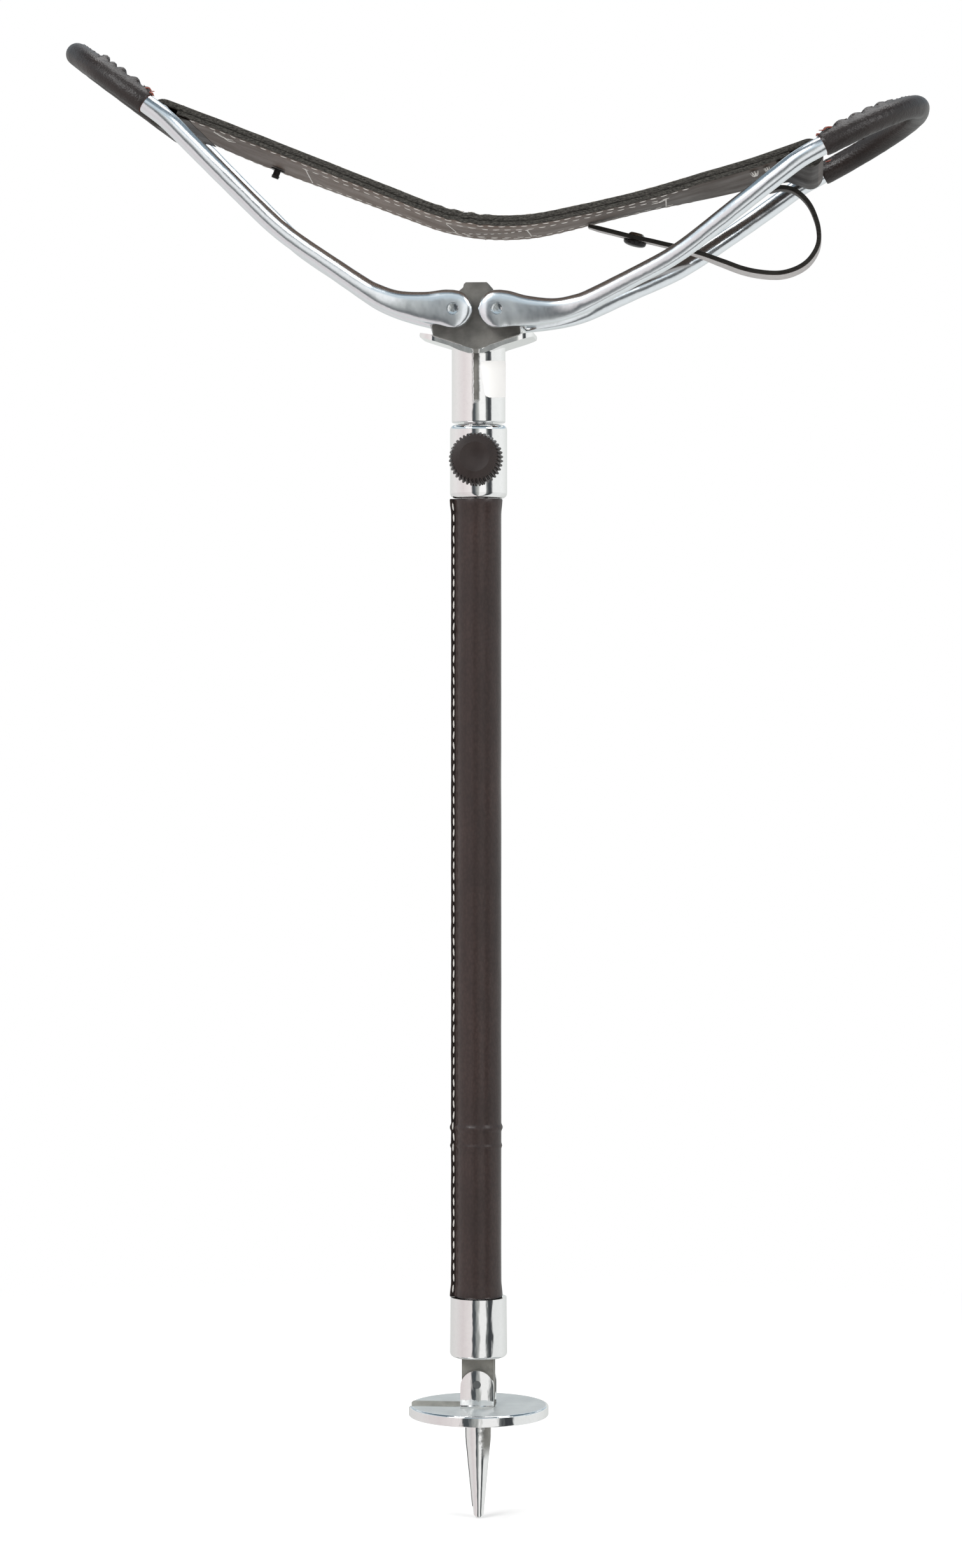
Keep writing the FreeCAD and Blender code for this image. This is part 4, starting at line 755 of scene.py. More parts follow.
class SleeveMaker(bpy.types.Operator):
    """Leather sleeve with its saddle-stitched seam"""
    bl_idname = "stick_seat.sleeve"
    bl_label = "Leather sleeve"

    def execute(self, context):
        looks = context.scene.stick_leather
        threads = context.scene.stick_thread
        outward = Vector((math.cos(SEAM_TURN), math.sin(SEAM_TURN), 0))
        sideways = Vector((-math.sin(SEAM_TURN), math.cos(SEAM_TURN), 0))
        section = sleeve_section()
        steps = 64
        outer, inner = [], []
        for height in sleeve_heights():
            centre = Vector((0, 0, height))
            radius = sleeve_surface_radius(height)
            if height in (SLEEVE_LOW, SLEEVE_HIGH):
                radius -= 0.25
            ring, bore = [], []
            for aside, out in section:
                ragged = 0.18 * noise.noise(Vector((aside, out, height / 7))) if out > 1 else 0
                reach = math.sqrt(radius ** 2 - aside ** 2)
                ring.append(centre + outward * (reach + out + ragged) + sideways * aside)
                bore.append(centre + (outward * reach + sideways * aside).normalized() * SLEEVE_BORE)
            start = math.asin(SEAM_FOOT / radius)
            for step in range(1, steps):
                angle = start + (2 * math.pi - 2 * start) * step / steps
                way = outward * math.cos(angle) + sideways * math.sin(angle)
                soft = 0.09 * noise.noise(Vector((way.x * 2, way.y * 2, height / 28)))
                ring.append(centre + way * (radius + soft))
                bore.append(centre + way * SLEEVE_BORE)
            outer.append(ring)
            inner.append(bore)
        points, faces = skin(outer + list(reversed(inner)), loop=True)
        chosen = []
        for at in range(len(faces)):
            row, column = divmod(at, len(outer[0]))
            cut = row >= len(outer) - 1 or 1 <= column < len(section) - 2
            chosen.append(1 if cut else 0)
        dyed = finish_of("waxed_cowhide_sleeve", leather, tone_of(looks.sleeve), looks.grain, 0.36, 0.3, 0.6,
                         gloss=0.4)
        black_edge = finish_of("inked_leather_edge", cut_leather, linear("#1d1817"), linear("#3a302c"),
                               along=(1, 1, 0.15))
        sleeve = new_piece("sleeve", points, faces, [dyed, black_edge], chosen, sharp=50)
        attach(sleeve, "stick")
        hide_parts("leather_sleeve")
        count = 221
        lines = []
        for face in (-1, 1):
            line = []
            for at in range(count):
                height = SLEEVE_LOW + 4.5 + (SLEEVE_HIGH - SLEEVE_LOW - 9) * at / (count - 1)
                reach = sleeve_surface_radius(height) + SEAM_HIGH / 2
                line.append(Vector((0, 0, height)) + outward * reach + sideways * (1.5 * face))
            lines.append(line)
        waxed = finish_of("waxed_linen_thread", thread_surface, tone_of(threads.waxed))
        stitches = sewn("sleeve_stitches", lines, threads, waxed, seed=3, unevenness=0.1, size=1.15)
        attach(stitches, "stick")
        return {"FINISHED"}


# Arms and the grips round their outer bends

def arm_point(side, local):
    """A point of an arm's own frame in the stick's frame. side is -1 for the left arm."""
    turn = math.radians(LIFT[side])
    out = PIVOT_X + local.x * math.cos(turn) - local.z * math.sin(turn)
    high = PIVOT_Z + local.x * math.sin(turn) + local.z * math.cos(turn)
    return Vector((side * out, local.y, high))


def rod_route(step):
    """The rod's middle line: up the front leg, round the outer bend and down the back leg."""
    front = [Vector(point) for point in LEG]
    back = [Vector((x, -y, z)) for x, y, z in reversed(LEG)]
    return rounded_path(front + back, LEG_BENDS + LEG_BENDS[::-1], step)


def gather(side, reached):
    """How far the grip's pinched seam stands up at a distance along it."""
    calm = 0.5
    if side > 0:
        share = fade(reached, 1, 6) * (1 - fade(reached, 46, 56))
        swell = abs(math.sin(math.pi * reached / 9.4)) ** 0.8
        return calm + 1.9 * share * swell
    bumps = ((4, 3.6, 1.5), (13, 5.2, 2.1), (23.5, 4.6, 2.2), (31, 3.4, 1.7), (39, 4.6, 2.4))
    return calm + sum(high * hump(reached - at, wide) for at, wide, high in bumps)


def grip_mesh(side):
    """Outer and inner rings of a grip, its two lines of stitches and its length."""
    path = spaced([point for point in rod_route(0.8) if point.x >= GRIP_START - 0.4], 240)
    total = length_of(path)
    tilt = math.radians(12)
    outer, inner, seam = [], [], []
    for at, (point, way) in enumerate(zip(path, directions(path))):
        reached = total * at / (len(path) - 1)
        upward = Vector((0, 0, 1))
        upward = (upward - way * upward.dot(way)).normalized()
        inward = Vector((BEND_MIDDLE_X - point.x, -point.y, 0))
        inward = (inward - way * inward.dot(way) - upward * inward.dot(upward)).normalized()
        ridge = (upward * math.cos(tilt) + inward * math.sin(tilt)).normalized()
        beside = way.cross(ridge).normalized()
        high = gather(side, reached)
        end_in = min(reached, total - reached)
        radius = GRIP_RADIUS - 0.35 * (1 - fade(end_in, 0, 1.2)) + 0.12 * noise.noise(point / 7)
        ring, bore = [], []
        width = 1.0 + 0.35 * high
        section = [(-2.6 * width, 0.0), (-1.25 * width, 0.42 * high), (-0.95 * width, 0.8 * high),
                   (-0.4 * width, high), (0.0, 0.72 * high), (0.4 * width, high * 0.94),
                   (0.95 * width, 0.76 * high), (1.25 * width, 0.4 * high), (2.6 * width, 0.0)]
        for aside, out in section:
            away = ridge * (math.sqrt(radius ** 2 - aside ** 2) + out) + beside * aside
            ring.append(arm_point(side, point + away))
            bore.append(arm_point(side, point + away.normalized() * (ROD_RADIUS + 0.03)))
        start = math.asin(2.6 * width / radius)
        steps = 30
        for step in range(1, steps):
            angle = start + (2 * math.pi - 2 * start) * step / steps
            away = ridge * math.cos(angle) + beside * math.sin(angle)
            puckers = 0.14 * high * math.cos(angle * 2) * noise.noise(Vector((reached / 2.3, angle, side)))
            ring.append(arm_point(side, point + away * (radius + puckers)))
            bore.append(arm_point(side, point + away * (ROD_RADIUS + 0.03)))
        outer.append(ring)
        inner.append(bore)
        flank = point + ridge * (radius + 0.45 * high)
        seam.append([arm_point(side, flank + beside * (way_out * 1.05 * width)) for way_out in (1, -1)])
    return outer, inner, [[pair[0] for pair in seam], [pair[1] for pair in seam]], total


def neck_stations():
    """Sections from the hub's end along the flattened neck, as NECK holds them."""
    along = Vector((1, 0, -0.5)).normalized()
    stations = [(along * place + Vector((0, -HUB_MIDDLE, 0)), high, deep, square)
                for place, high, deep, square in NECK]
    knots = stations[-1:] + [(Vector(place), high, deep, square) for place, high, deep, square in NECK_RUN]
    curve = smooth_path([place for place, *rest in knots], 8)
    sizes = smooth_path([Vector(rest) for place, *rest in knots], 8)
    return stations[:-1] + [(point, *size) for point, size in zip(curve, sizes)]


def arm_rings():
    """Sections of a whole arm in its own frame: hub, neck, rod round the bend, neck and hub."""
    front = neck_stations()
    rod = [(point, ROD_RADIUS, ROD_RADIUS, 2.0) for point in rod_route(2.2)[1:-1]]
    back = [(Vector((place.x, -place.y, place.z)), *rest) for place, *rest in reversed(front)]
    stations = front + rod + back
    steps = 40
    rings = []
    ways = directions([station[0] for station in stations])
    for (place, high, deep, square), way in zip(stations, ways):
        outward = way.cross(Vector((0, 0, 1))).normalized()
        upward = outward.cross(way)
        ring = []
        for step in range(steps):
            angle = 2 * math.pi * step / steps
            c, s = math.cos(angle), math.sin(angle)
            away = (upward * math.copysign(abs(s) ** (2 / square), s) * high
                    + outward * math.copysign(abs(c) ** (2 / square), c) * deep)
            point = place + away
            ring.append(point + away.normalized() * (0.11 * noise.noise(point / 9)))
        rings.append(ring)
    return rings


class ArmMaker(bpy.types.Operator):
    """Both cast arms, from their hubs through flattened necks into the round rod"""
    bl_idname = "stick_seat.arms"
    bl_label = "Arms"

    def execute(self, context):
        # The near-white is the metal's own; its faint blue is painted reflection of the blue-grey room
        # mirrored in the necks
        bright = finish_of("satin_cast_aluminium", polished, linear("#f3f7fa"), 0.2, 12.0, 0.22)
        rings = arm_rings()
        for side, word in SIDES:
            points, faces = skin([[arm_point(side, point) for point in ring] for ring in rings])
            blank = new_piece("arm_blank", points, faces, [bright])
            drill = turned("pin_drill", [(0, -40), (PIN_HOLE, -40), (PIN_HOLE, 40), (0, 40)],
                           Vector((side * PIVOT_X, 0, PIVOT_Z)), Vector((0, 1, 0)), bright, 32)
            bore = blank.modifiers.new("pin_hole", "BOOLEAN")
            bore.operation = "DIFFERENCE"
            bore.object = drill
            arm = made_plain(blank, "arm_cast_" + word)
            bpy.data.objects.remove(drill)
            arm.data.shade_smooth()
            arm.data.set_sharp_from_angle(angle=math.radians(40))
            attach(arm, "arm_" + word)
            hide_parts("arm_" + word)
        return {"FINISHED"}


class PinMaker(bpy.types.Operator):
    """Arm pins, their riveted ends dished and buffed with the hubs"""
    bl_idname = "stick_seat.arm_pins"
    bl_label = "Arm pins"

    def execute(self, context):
        bright = finish_of("buffed_rivet_steel", polished, linear("#dfe3e5"), 0.08, 3.0, 0.2)
        end = [(1.1, 25.13), (2.1, 25.2), (2.8, 25.3), (3.12, 25.36), (3.32, 25.28), (3.38, 25.0)]
        profile = [(0, -25.1)] + [(radius, -high) for radius, high in end] + end[::-1] + [(0, 25.1)]
        for side, word in SIDES:
            pin = turned("rivet_" + word, profile, Vector((side * PIVOT_X, 0, PIVOT_Z)),
                         Vector((0, 1, 0)), bright, 32)
            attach(pin, "head")
            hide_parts("arm_pin_" + word)
        return {"FINISHED"}


# Ends of the thread that has come loose at each grip, in its arm's own frame
LOOSE_ENDS = {
    1: [[(203.0, -68, 4.5), (200.6, -68.6, 5.6), (198.2, -69.2, 4.9), (196.0, -69.2, 5.9)],
        [(195.6, -68, 4.1), (194.2, -69.4, 4.6), (193.4, -70.2, 3.6)],
        [(204, 63.4, 3.0), (201.5, 62.6, 2.6), (199.0, 62.9, 3.3)]],
    -1: [[(199.6, -68, 4.4), (197.4, -68.8, 5.8), (195.3, -69.4, 4.9), (193.9, -69.6, 5.8)],
         [(195.8, -69.5, 3.9), (194.0, -70.2, 4.4), (192.8, -70.6, 3.4)]],
}


class GripMaker(bpy.types.Operator):
    """Thin leather sewn round the outer bend of each arm, with its gathered seam"""
    bl_idname = "stick_seat.grips"
    bl_label = "Grips"

    def execute(self, context):
        looks = context.scene.stick_leather
        threads = context.scene.stick_thread
        thin = finish_of("waxed_kip_grip", leather, tone_of(looks.grip), looks.grain * 0.8, 0.42, 1.0,
                         gloss=0.5)
        raw = finish_of("red_brown_leather_edge", cut_leather, linear("#3a2420"), linear("#7a4336"))
        stained = finish_of("stained_linen_thread", thread_surface, tone_of(threads.stained))
        dark = finish_of("dark_linen_thread", thread_surface, linear("#3c302c"))
        for side, word in SIDES:
            outer, inner, seam, total = grip_mesh(side)
            points, faces = skin(outer + list(reversed(inner)), loop=True)
            ends = (len(outer) - 1, 2 * len(outer) - 1)
            chosen = [1 if at // len(outer[0]) in ends else 0 for at in range(len(faces))]
            grip = new_piece("grip_cover_" + word, points, faces, [thin, raw], chosen, sharp=55)
            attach(grip, "arm_" + word)
            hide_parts("grip_" + word)
            stitches = sewn("grip_stitches_" + word, seam, threads, dark, seed=11 + side,
                            unevenness=0.2, size=0.62)
            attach(stitches, "arm_" + word)
            tubes = [thread_tube([arm_point(side, Vector(point)) for point in run], 0.42)
                     for run in LOOSE_ENDS[side]]
            loose = join_tubes("thread_ends_" + word, tubes, stained)
            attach(loose, "arm_" + word)
        return {"FINISHED"}


# Sling seat

def flat_normal(way):
    """The upward normal of a direction in the XZ plane."""
    return Vector((-way.y, way.x)) if way.x > 0 else Vector((way.y, -way.x))


def touch_point(centre, outside, above):
    """Where a line from a point touches the wrap round a bar, in the XZ plane."""
    reach = outside - centre
    base = math.atan2(reach.y, reach.x)
    spread = math.acos(WRAP_RADIUS / reach.length)
    found = [centre + Vector((math.cos(base + turn), math.sin(base + turn))) * WRAP_RADIUS
             for turn in (spread, -spread)]
    found.sort(key=lambda point: point.y)
    return found[1] if above else found[0]


def arc_round(centre, start, end, away, count):
    """Points round a bar from start to end, by way of the side that faces away."""
    first = math.atan2(*(start - centre).yx)
    last = math.atan2(*(end - centre).yx)
    middle = math.atan2(*away.yx)
    sweeps = [last + full - first for full in (0, 2 * math.pi, -2 * math.pi)]
    sweep = min(sweeps, key=lambda turn: (abs(math.remainder(first + turn / 2 - middle, 2 * math.pi)),
                                          abs(turn)))
    angles = [first + sweep * at / (count - 1) for at in range(count)]
    return [centre + Vector((math.cos(angle), math.sin(angle))) * WRAP_RADIUS for angle in angles]


def seat_side(sag):
    """The upper layer's middle line on one edge: flap, wrap, span, wrap and flap, as sections."""
    corners = [Vector(point) for point in sag]
    flaps, wraps = {}, {}
    for side in (-1, 1):
        centre = Vector(BARS[side])
        anchor = corners[0] if side < 0 else corners[-1]
        upper = touch_point(centre, anchor, True)
        way = (anchor - upper).normalized()
        down = -flat_normal(way)
        seam, tip = [upper + way * ((x - upper.x) / way.x) + down * below
                     for x, below in ((FLAP_SEAM[side], 5.55), (FLAP_TIP[side], 4.95))]
        lower = touch_point(centre, seam, False)
        flaps[side] = spaced([tip, seam, lower], FLAP_POINTS)
        wraps[side] = arc_round(centre, lower, upper, -way, WRAP_POINTS)
    span = spaced(rounded_path([wraps[-1][-1]] + corners + [wraps[1][-1]], SAG_BENDS, 0.8), SPAN_POINTS)
    return [flaps[-1], wraps[-1], span, wraps[1][::-1], flaps[1][::-1]]


def joined(sections):
    """One path of sections that share their end points."""
    path = list(sections[0])
    for section in sections[1:]:
        path += section[1:]
    return path


front_line = seat_side(FRONT_SAG)
back_line = seat_side(BACK_SAG)


def ripple(x, y):
    """Small waves of the front edge near the lowest point, where the two layers are sewn."""
    window = fade(x, -19, -14) * (1 - fade(x, 8, 14))
    return 0.45 * window * math.cos(2 * math.pi * (x + 8.2) / 8.7) * math.exp(-((y + SEAT_HALF) / 9) ** 2)


def tension(x, y):
    """A slow unevenness of the hide."""
    return (0.35 * noise.noise(Vector((x / 34, y / 30, 3.1)))
            + 0.15 * noise.noise(Vector((x / 12, y / 11, 8))))


def edge_pull(y):
    """The layers are pulled thinner by the stitches along the long edges."""
    return 0.75 * (1 - fade(SEAT_HALF - abs(y), 0, 9))


def unpulled(y):
    """A face that no stitches pull."""
    return 0.0


def span_point(x, y, lift):
    """A point of the seat between the bars, lifted off the upper layer's middle line."""
    share = (y + SEAT_HALF) / (2 * SEAT_HALF)
    front, back = front_line[2], back_line[2]
    low, high = 0, len(front) - 1
    while high - low > 1:
        middle = (low + high) // 2
        if front[middle].lerp(back[middle], share).x < x:
            low = middle
        else:
            high = middle
    first, second = front[low].lerp(back[low], share), front[high].lerp(back[high], share)
    way = (second - first).normalized()
    at = first + way * ((x - first.x) / way.x) + flat_normal(way) * lift
    return Vector((at.x, y, at.y + ripple(x, y) + tension(x, y)))


def slab_rings(edges, up_pull, down_pull, ragged):
    """Cross sections of a leather strip, each a closed ring across it. edges holds the paths of its
    front and back edges, and half its thickness at each point of them."""
    ways = [directions(edges[0]), directions(edges[1])]
    rings = []
    for at, (front, back, half) in enumerate(zip(*edges)):
        top, bottom = [], []
        for row in range(ACROSS + 1):
            share = row / ACROSS
            y = -SEAT_HALF + 2 * SEAT_HALF * share
            middle = front.lerp(back, share)
            way = ways[0][at].lerp(ways[1][at], share).normalized()
            normal = Vector((-way.y, way.x))
            rough = ragged * noise.noise(Vector((middle.x / 2.5, y, middle.y / 2.5)))
            outside = y + {0: rough, ACROSS: -rough}.get(row, 0)
            waves = tension(middle.x, y) + ripple(middle.x, y)
            up = middle + normal * (half - up_pull(y))
            down = middle - normal * (half - down_pull(y))
            top.append(Vector((up.x, outside, up.y + waves)))
            bottom.append(Vector((down.x, outside, down.y + waves)))
        inset = Vector((0, min(0.55, half * 0.5), 0))
        near = [top[0].lerp(bottom[0], share) for share in (0.18, 0.5, 0.82)]
        far = [top[-1].lerp(bottom[-1], share) for share in (0.18, 0.5, 0.82)]
        rings.append(near[:1] + [top[0] + inset] + top[1:-1] + [top[-1] - inset] + far
                     + [bottom[-1] - inset] + bottom[-2:0:-1] + [bottom[0] + inset] + near[:0:-1])
    return rings


def seat_layer(name, edges, down_pull, materials, turned_under=()):
    """A closed strip: its faces, raw edges, upper face and any rows turned under, by material."""
    rings = slab_rings(edges, unpulled, down_pull, 0.25)
    points, faces = skin(rings)
    count = len(rings[0])
    raw = {0, *range(ACROSS + 1, ACROSS + 5), count - 3, count - 2, count - 1}
    chosen = []
    for at in range(len(faces) - 2):
        row, column = divmod(at, count)
        chosen.append(1 if column in raw else 3 if row in turned_under else 2 if column <= ACROSS else 0)
    return new_piece(name, points, faces, materials, chosen + [1, 1], sharp=50)


def cut_at_middle(front, back, thick):
    """Split edge paths at x = 0, each half reaching exactly there."""
    at = [index for index in range(1, len(front)) if front[index - 1].x < 0 <= front[index].x][-1]
    share, share_back = [-path[at - 1].x / (path[at].x - path[at - 1].x) for path in (front, back)]
    cut = (front[at - 1].lerp(front[at], share), back[at - 1].lerp(back[at], share_back),
           thick[at - 1] * (1 - share) + thick[at] * share)
    left = [path[:at] + [end] for path, end in zip((front, back, thick), cut)]
    right = [[end] + path[at:] for path, end in zip((front, back, thick), cut)]
    return left, right


def bend_with(piece):
    """Bake the piece's placement into its mesh."""
    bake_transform(piece)


class SeatMaker(bpy.types.Operator):
    """Both layers of the sling seat, wrapped round the crossbars, as left and right halves"""
    bl_idname = "stick_seat.seat"
    bl_label = "Sling seat"

    def execute(self, context):
        looks = context.scene.stick_leather
        # Painted light and shade on the flesh side: paler in the sling's middle, darker towards the bars
        smooth = finish_of("flesh_side_cowhide", leather, tone_of(looks.seat), looks.grain * 0.7, 0.5, 0.2,
                           variation=0.1, gloss=0.15, worn_middle=0.55)
        fibrous = finish_of("raw_seat_edge", cut_leather, shade(tone_of(looks.cut_edge), 0.3),
                            shade(tone_of(looks.cut_edge), 2.0), along=(0.3, 1, 1))
        # Painted shade: the rows turned under round the bars get a darker flesh side, for the shade inside
        # the wraps
        shaded = finish_of("handled_flesh_side", leather, linear("#352c29"), looks.grain * 0.7, 0.5, 0.2)
        grain_side = finish_of("grain_side_cowhide", leather, tone_of(looks.seat_top), looks.grain, 0.45)
        front, back = joined(front_line), joined(back_line)
        thick = []
        for at in range(len(front)):
            from_tip = min(at, len(front) - 1 - at) / FLAP_POINTS
            thick.append(LAYER / 2 * (0.05 + 0.35 * min(from_tip * 2, 1) + 0.6 * fade(from_tip, 0.5, 1.2)))
        for (side, word), edges in zip(SIDES, cut_at_middle(front, back, thick)):
            spans = len(edges[0]) - 1
            turned_under = range(FLAP_POINTS + 4) if side < 0 else range(spans - FLAP_POINTS - 4, spans)
            upper = seat_layer("seat_upper_" + word, edges, unpulled,
                               [smooth, fibrous, grain_side, shaded], turned_under)
            self.lay(upper, side, "seat_upper", edges, "crossbar_" + word)
        drop = LAYER + LAYER_GAP
        below = [[point - flat_normal(way) * drop for point, way in zip(path, directions(path))]
                 for path in (front_line[2], back_line[2])]
        kept = [at for at, point in enumerate(below[0]) if LOWER_ENDS[0] < point.x < LOWER_ENDS[1]]
        front, back = [[path[at] for at in kept] for path in below]
        for (side, word), edges in zip(SIDES, cut_at_middle(front, back, [LAYER / 2] * len(kept))):
            lower = seat_layer("seat_lower_" + word, edges, edge_pull, [smooth, fibrous, smooth])
            self.lay(lower, side, "seat_lower", edges, "seat_upper_" + word)
        return {"FINISHED"}

    def lay(self, half, side, layer, edges, rests_on):
        """Bake one half of a layer in place and hide the layer that it replaces."""
        bend_with(half)
        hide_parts(layer)


def seat_seams():
    """Seams of the seat, as lines in X and Y: along the edges, a long box, and in its middle two
    short rows across, joined along the back and by a diagonal."""
    low_x, high_x, low_y, high_y = LONG_BOX
    edge = SEAT_HALF - EDGE_INSET
    lines = [[(-150, -edge), (high_x + 11, -edge)], [(-150, edge), (high_x + 11, edge)],
             [(low_x, low_y), (high_x, low_y)], [(low_x, high_y), (high_x, high_y)],
             [(low_x, low_y), (low_x - 4, high_y)], [(high_x, low_y), (high_x - 2, high_y)]]
    low_x, high_x, low_y, high_y = SMALL_BOX
    lines += [[(low_x + 1, high_y), (high_x, low_y)], [(low_x, high_y), (high_x, high_y)],
              [(low_x, low_y), (low_x + 1, high_y)], [(high_x, low_y), (high_x - 1, high_y)]]
    return lines


def run_on_seat(start, end, lift, limits):
    """Points of a seam on one face of the seat, kept between two X limits."""
    count = max(2, int(math.dist(start, end) / 1.2))
    points = []
    for at in range(count + 1):
        x, y = [first + (last - first) * at / count for first, last in zip(start, end)]
        if limits[0] <= x <= limits[1]:
            points.append(span_point(x, y, lift + edge_pull(y) * (lift < 0)))
    return points


def under_seat(x, y, more=0.0):
    """A point below the seat's lower face."""
    return span_point(x, y, -1.5 * LAYER - LAYER_GAP - more)


def frayed_knot(x, y, reach):
    """Runs of thread of one frayed knot that hangs from the underside."""
    runs = []
    for at in range(22):
        turn = at * 2.4
        far = reach * (0.55 + 0.45 * (at % 3) / 2)
        aside, ahead = far * math.cos(turn) * 0.5, far * math.sin(turn)
        runs.append([under_seat(x, y, 0.4), under_seat(x + aside * 0.5, y + ahead * 0.5, 2.6),
                     under_seat(x + aside, y + ahead, 2.6 - 1.1 * (at % 3))])
    return runs


class SeatStitchMaker(bpy.types.Operator):
    """Stitches of the seat on both of its faces, and its loose thread ends"""
    bl_idname = "stick_seat.seat_stitches"
    bl_label = "Seat stitches"

    def execute(self, context):
        threads = context.scene.stick_thread
        waxed = finish_of("waxed_linen_thread", thread_surface, tone_of(threads.waxed))
        top = LAYER / 2
        bottom = -1.5 * LAYER - LAYER_GAP
        edge = SEAT_HALF - EDGE_INSET
        for side, word in SIDES:
            limits = (-200, 0) if side < 0 else (0, 200)
            lines = [run_on_seat(start, end, lift, limits) for start, end in seat_seams()
                     for lift in (top, bottom)]
            lines = [line for line in lines if len(line) > 3]
            seam_x = FLAP_SEAM[side]
            lines.append(run_on_seat((seam_x, -edge), (seam_x, edge), top, (-200, 200)))
            stitches = sewn("seat_stitches_" + word, lines, threads, waxed, seed=21 + side)
            bend_with(stitches)
        left_ends = [[(-138, -48, 0.3), (-135, -47, 1.0), (-131, -44, 1.2), (-128, -43, 0.4)],
                     [(-134, -40, 0.4), (-131, -38, 1.2), (-127.5, -37, 0.6)]]
        right_end = [(103, -34, 0.2), (99, -32, 0.9), (95, -27, 0.5)]
        ends = {-1: [[under_seat(*place) for place in run] for run in left_ends],
                1: [[under_seat(*place) for place in right_end]]
                + frayed_knot(150.5, -45, 4.4) + frayed_knot(157.0, -47, 3.0)}
        for side, word in SIDES:
            loose = join_tubes("loose_threads_" + word,
                               [thread_tube(run, 0.45) for run in ends[side]], waxed)
            bend_with(loose)
        return {"FINISHED"}


# Closing strap

class StrapMaker(bpy.types.Operator):
    """Closing strap that comes round the right loop, with its snap"""
    bl_idname = "stick_seat.strap"
    bl_label = "Closing strap"

    def execute(self, context):
        looks = context.scene.stick_leather
        path = spaced(smooth_path([Vector(point) for point in STRAP]), 170)
        # A quarter of the strap's section, as the place across it and the share of its half thickness,
        # is mirrored to the far edge and then to the underside
        reach = STRAP_WIDE / 2
        quarter = [(-reach, 0.35), (-reach, 0.82), (0.5 - reach, 1), (4.4 - reach, 1.02)]
        upper = quarter + [(-across, level) for across, level in reversed(quarter)]
        section = upper + [(across, -level) for across, level in reversed(upper)]
        faces_round = [1, 0, 0, 0, 0, 0, 1, 1, 1, 0, 2, 2, 2, 0, 1, 1]
        rings = []
        for at, (point, way) in enumerate(zip(path, directions(path))):
            normal = Vector((-way.y, way.x))
            half = STRAP_THICK / 2 * (0.75 + 0.25 * fade(at, 0, 6))
            narrow = 1.2 * (1 - fade(at, 0, 4))
            wave = 0.12 * noise.noise(Vector((point.x / 9, 0, point.y / 9)))
            roll = STRAP_ROLL * fade(at, 40, 75) * max(0, way.x)
            ring = []
            for across, level in section:
                off = point + normal * (half * level + wave - roll * across / STRAP_WIDE)
                at_edge = abs(across) > reach - 0.6
                inset = math.copysign(narrow, across) if at_edge else 0
                ring.append(Vector((off.x, STRAP_Y + across - inset, off.y)))
            rings.append(ring)
        points, faces = skin(rings)
        chosen = faces_round * (len(rings) - 1) + [1, 1]
        dark = finish_of("strap_cowhide", leather, linear("#3b312d"), looks.grain * 0.8, 0.5, 0.6)
        side_cut = finish_of("dyed_strap_edge", cut_leather, shade(tone_of(looks.cut_edge), 0.35),
                             shade(tone_of(looks.cut_edge), 0.8))
        flesh = finish_of("pale_strap_flesh_side", cut_leather, shade(tone_of(looks.strap_back), 0.75),
                          tone_of(looks.strap_back))
        strap = new_piece("strap", points, faces, [dark, side_cut, flesh], chosen, sharp=50)
        bend_with(strap)
        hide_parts("closing_strap")
        way = (Vector(STRAP[1]) - Vector(STRAP[0])).normalized()
        at = Vector(STRAP[0]) + way * SNAP_FROM_TIP
        centre = Vector((at.x, STRAP_Y, at.y))
        down = Vector((way.y, 0, -way.x))
        lacquer = finish_of("japanned_brass_snap", moulded_resin, tone_of(context.scene.stick_metal.snap),
                            0.22)
        cap = turned("snap_cap", [(0, 1.2), (6.25, 1.2), (6.4, 1.5), (6.4, 2.5), (6.0, 3.4), (5.0, 4.05),
                                  (3.4, 4.45), (1.7, 4.62), (0, 4.65)], centre, down, lacquer)
        nickel = finish_of("nickelled_brass", drawn_metal, linear("#c9c4b8"), 0.3)
        ring = turned("snap_ring", [(0, 2.1), (1.9, 2.1), (2.1, 2.9), (3.5, 2.9), (4.3, 2.2), (4.8, 1.3),
                                    (4.8, 1.1), (0, 1.1)], centre, -down, nickel)
        for piece in (cap, ring):
            bend_with(piece)
            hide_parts("snap_socket")
        return {"FINISHED"}


# Blank label on the head's socket

class LabelMaker(bpy.types.Operator):
    """Plain white label stuck round the socket, turned a little"""
    bl_idname = "stick_seat.label"
    bl_label = "Blank label"

    def execute(self, context):
        wide, high, corner, turn = 31.0, 20.2, 2.6, math.radians(8)
        middle_z = 568.8
        first_angle = math.radians(13.0)
        columns, rows = 44, 26
        radius = SOCKET_RADIUS + 0.05
        rings = []
        for row in range(rows + 1):
            v = -high / 2 + high * row / rows
            into = max(0, corner - (high / 2 - abs(v)))
            short = corner - math.sqrt(max(corner ** 2 - into ** 2, 0))
            outer, inner = [], []
            for column in range(columns + 1):
                u = short + (wide - 2 * short) * column / columns
                angle = first_angle + (u * math.cos(turn) - v * math.sin(turn)) / radius
                way = Vector((math.sin(angle), -math.cos(angle), 0))
                place = way * radius
                place.z = middle_z + u * math.sin(turn) * 0.35 + v * math.cos(turn)
                at_edge = column in (0, columns) or row in (0, rows)
                outer.append(place + way * (0.05 if at_edge else 0.12))
                inner.append(place)
            rings.append(outer + inner[::-1])
        points, faces = skin(rings)
        white = finish_of("coated_paper_label", paper_label)
        label = new_piece("blank_label", points, faces, [white], sharp=70)
        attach(label, "head")
        return {"FINISHED"}


# Finishes of the hard parts

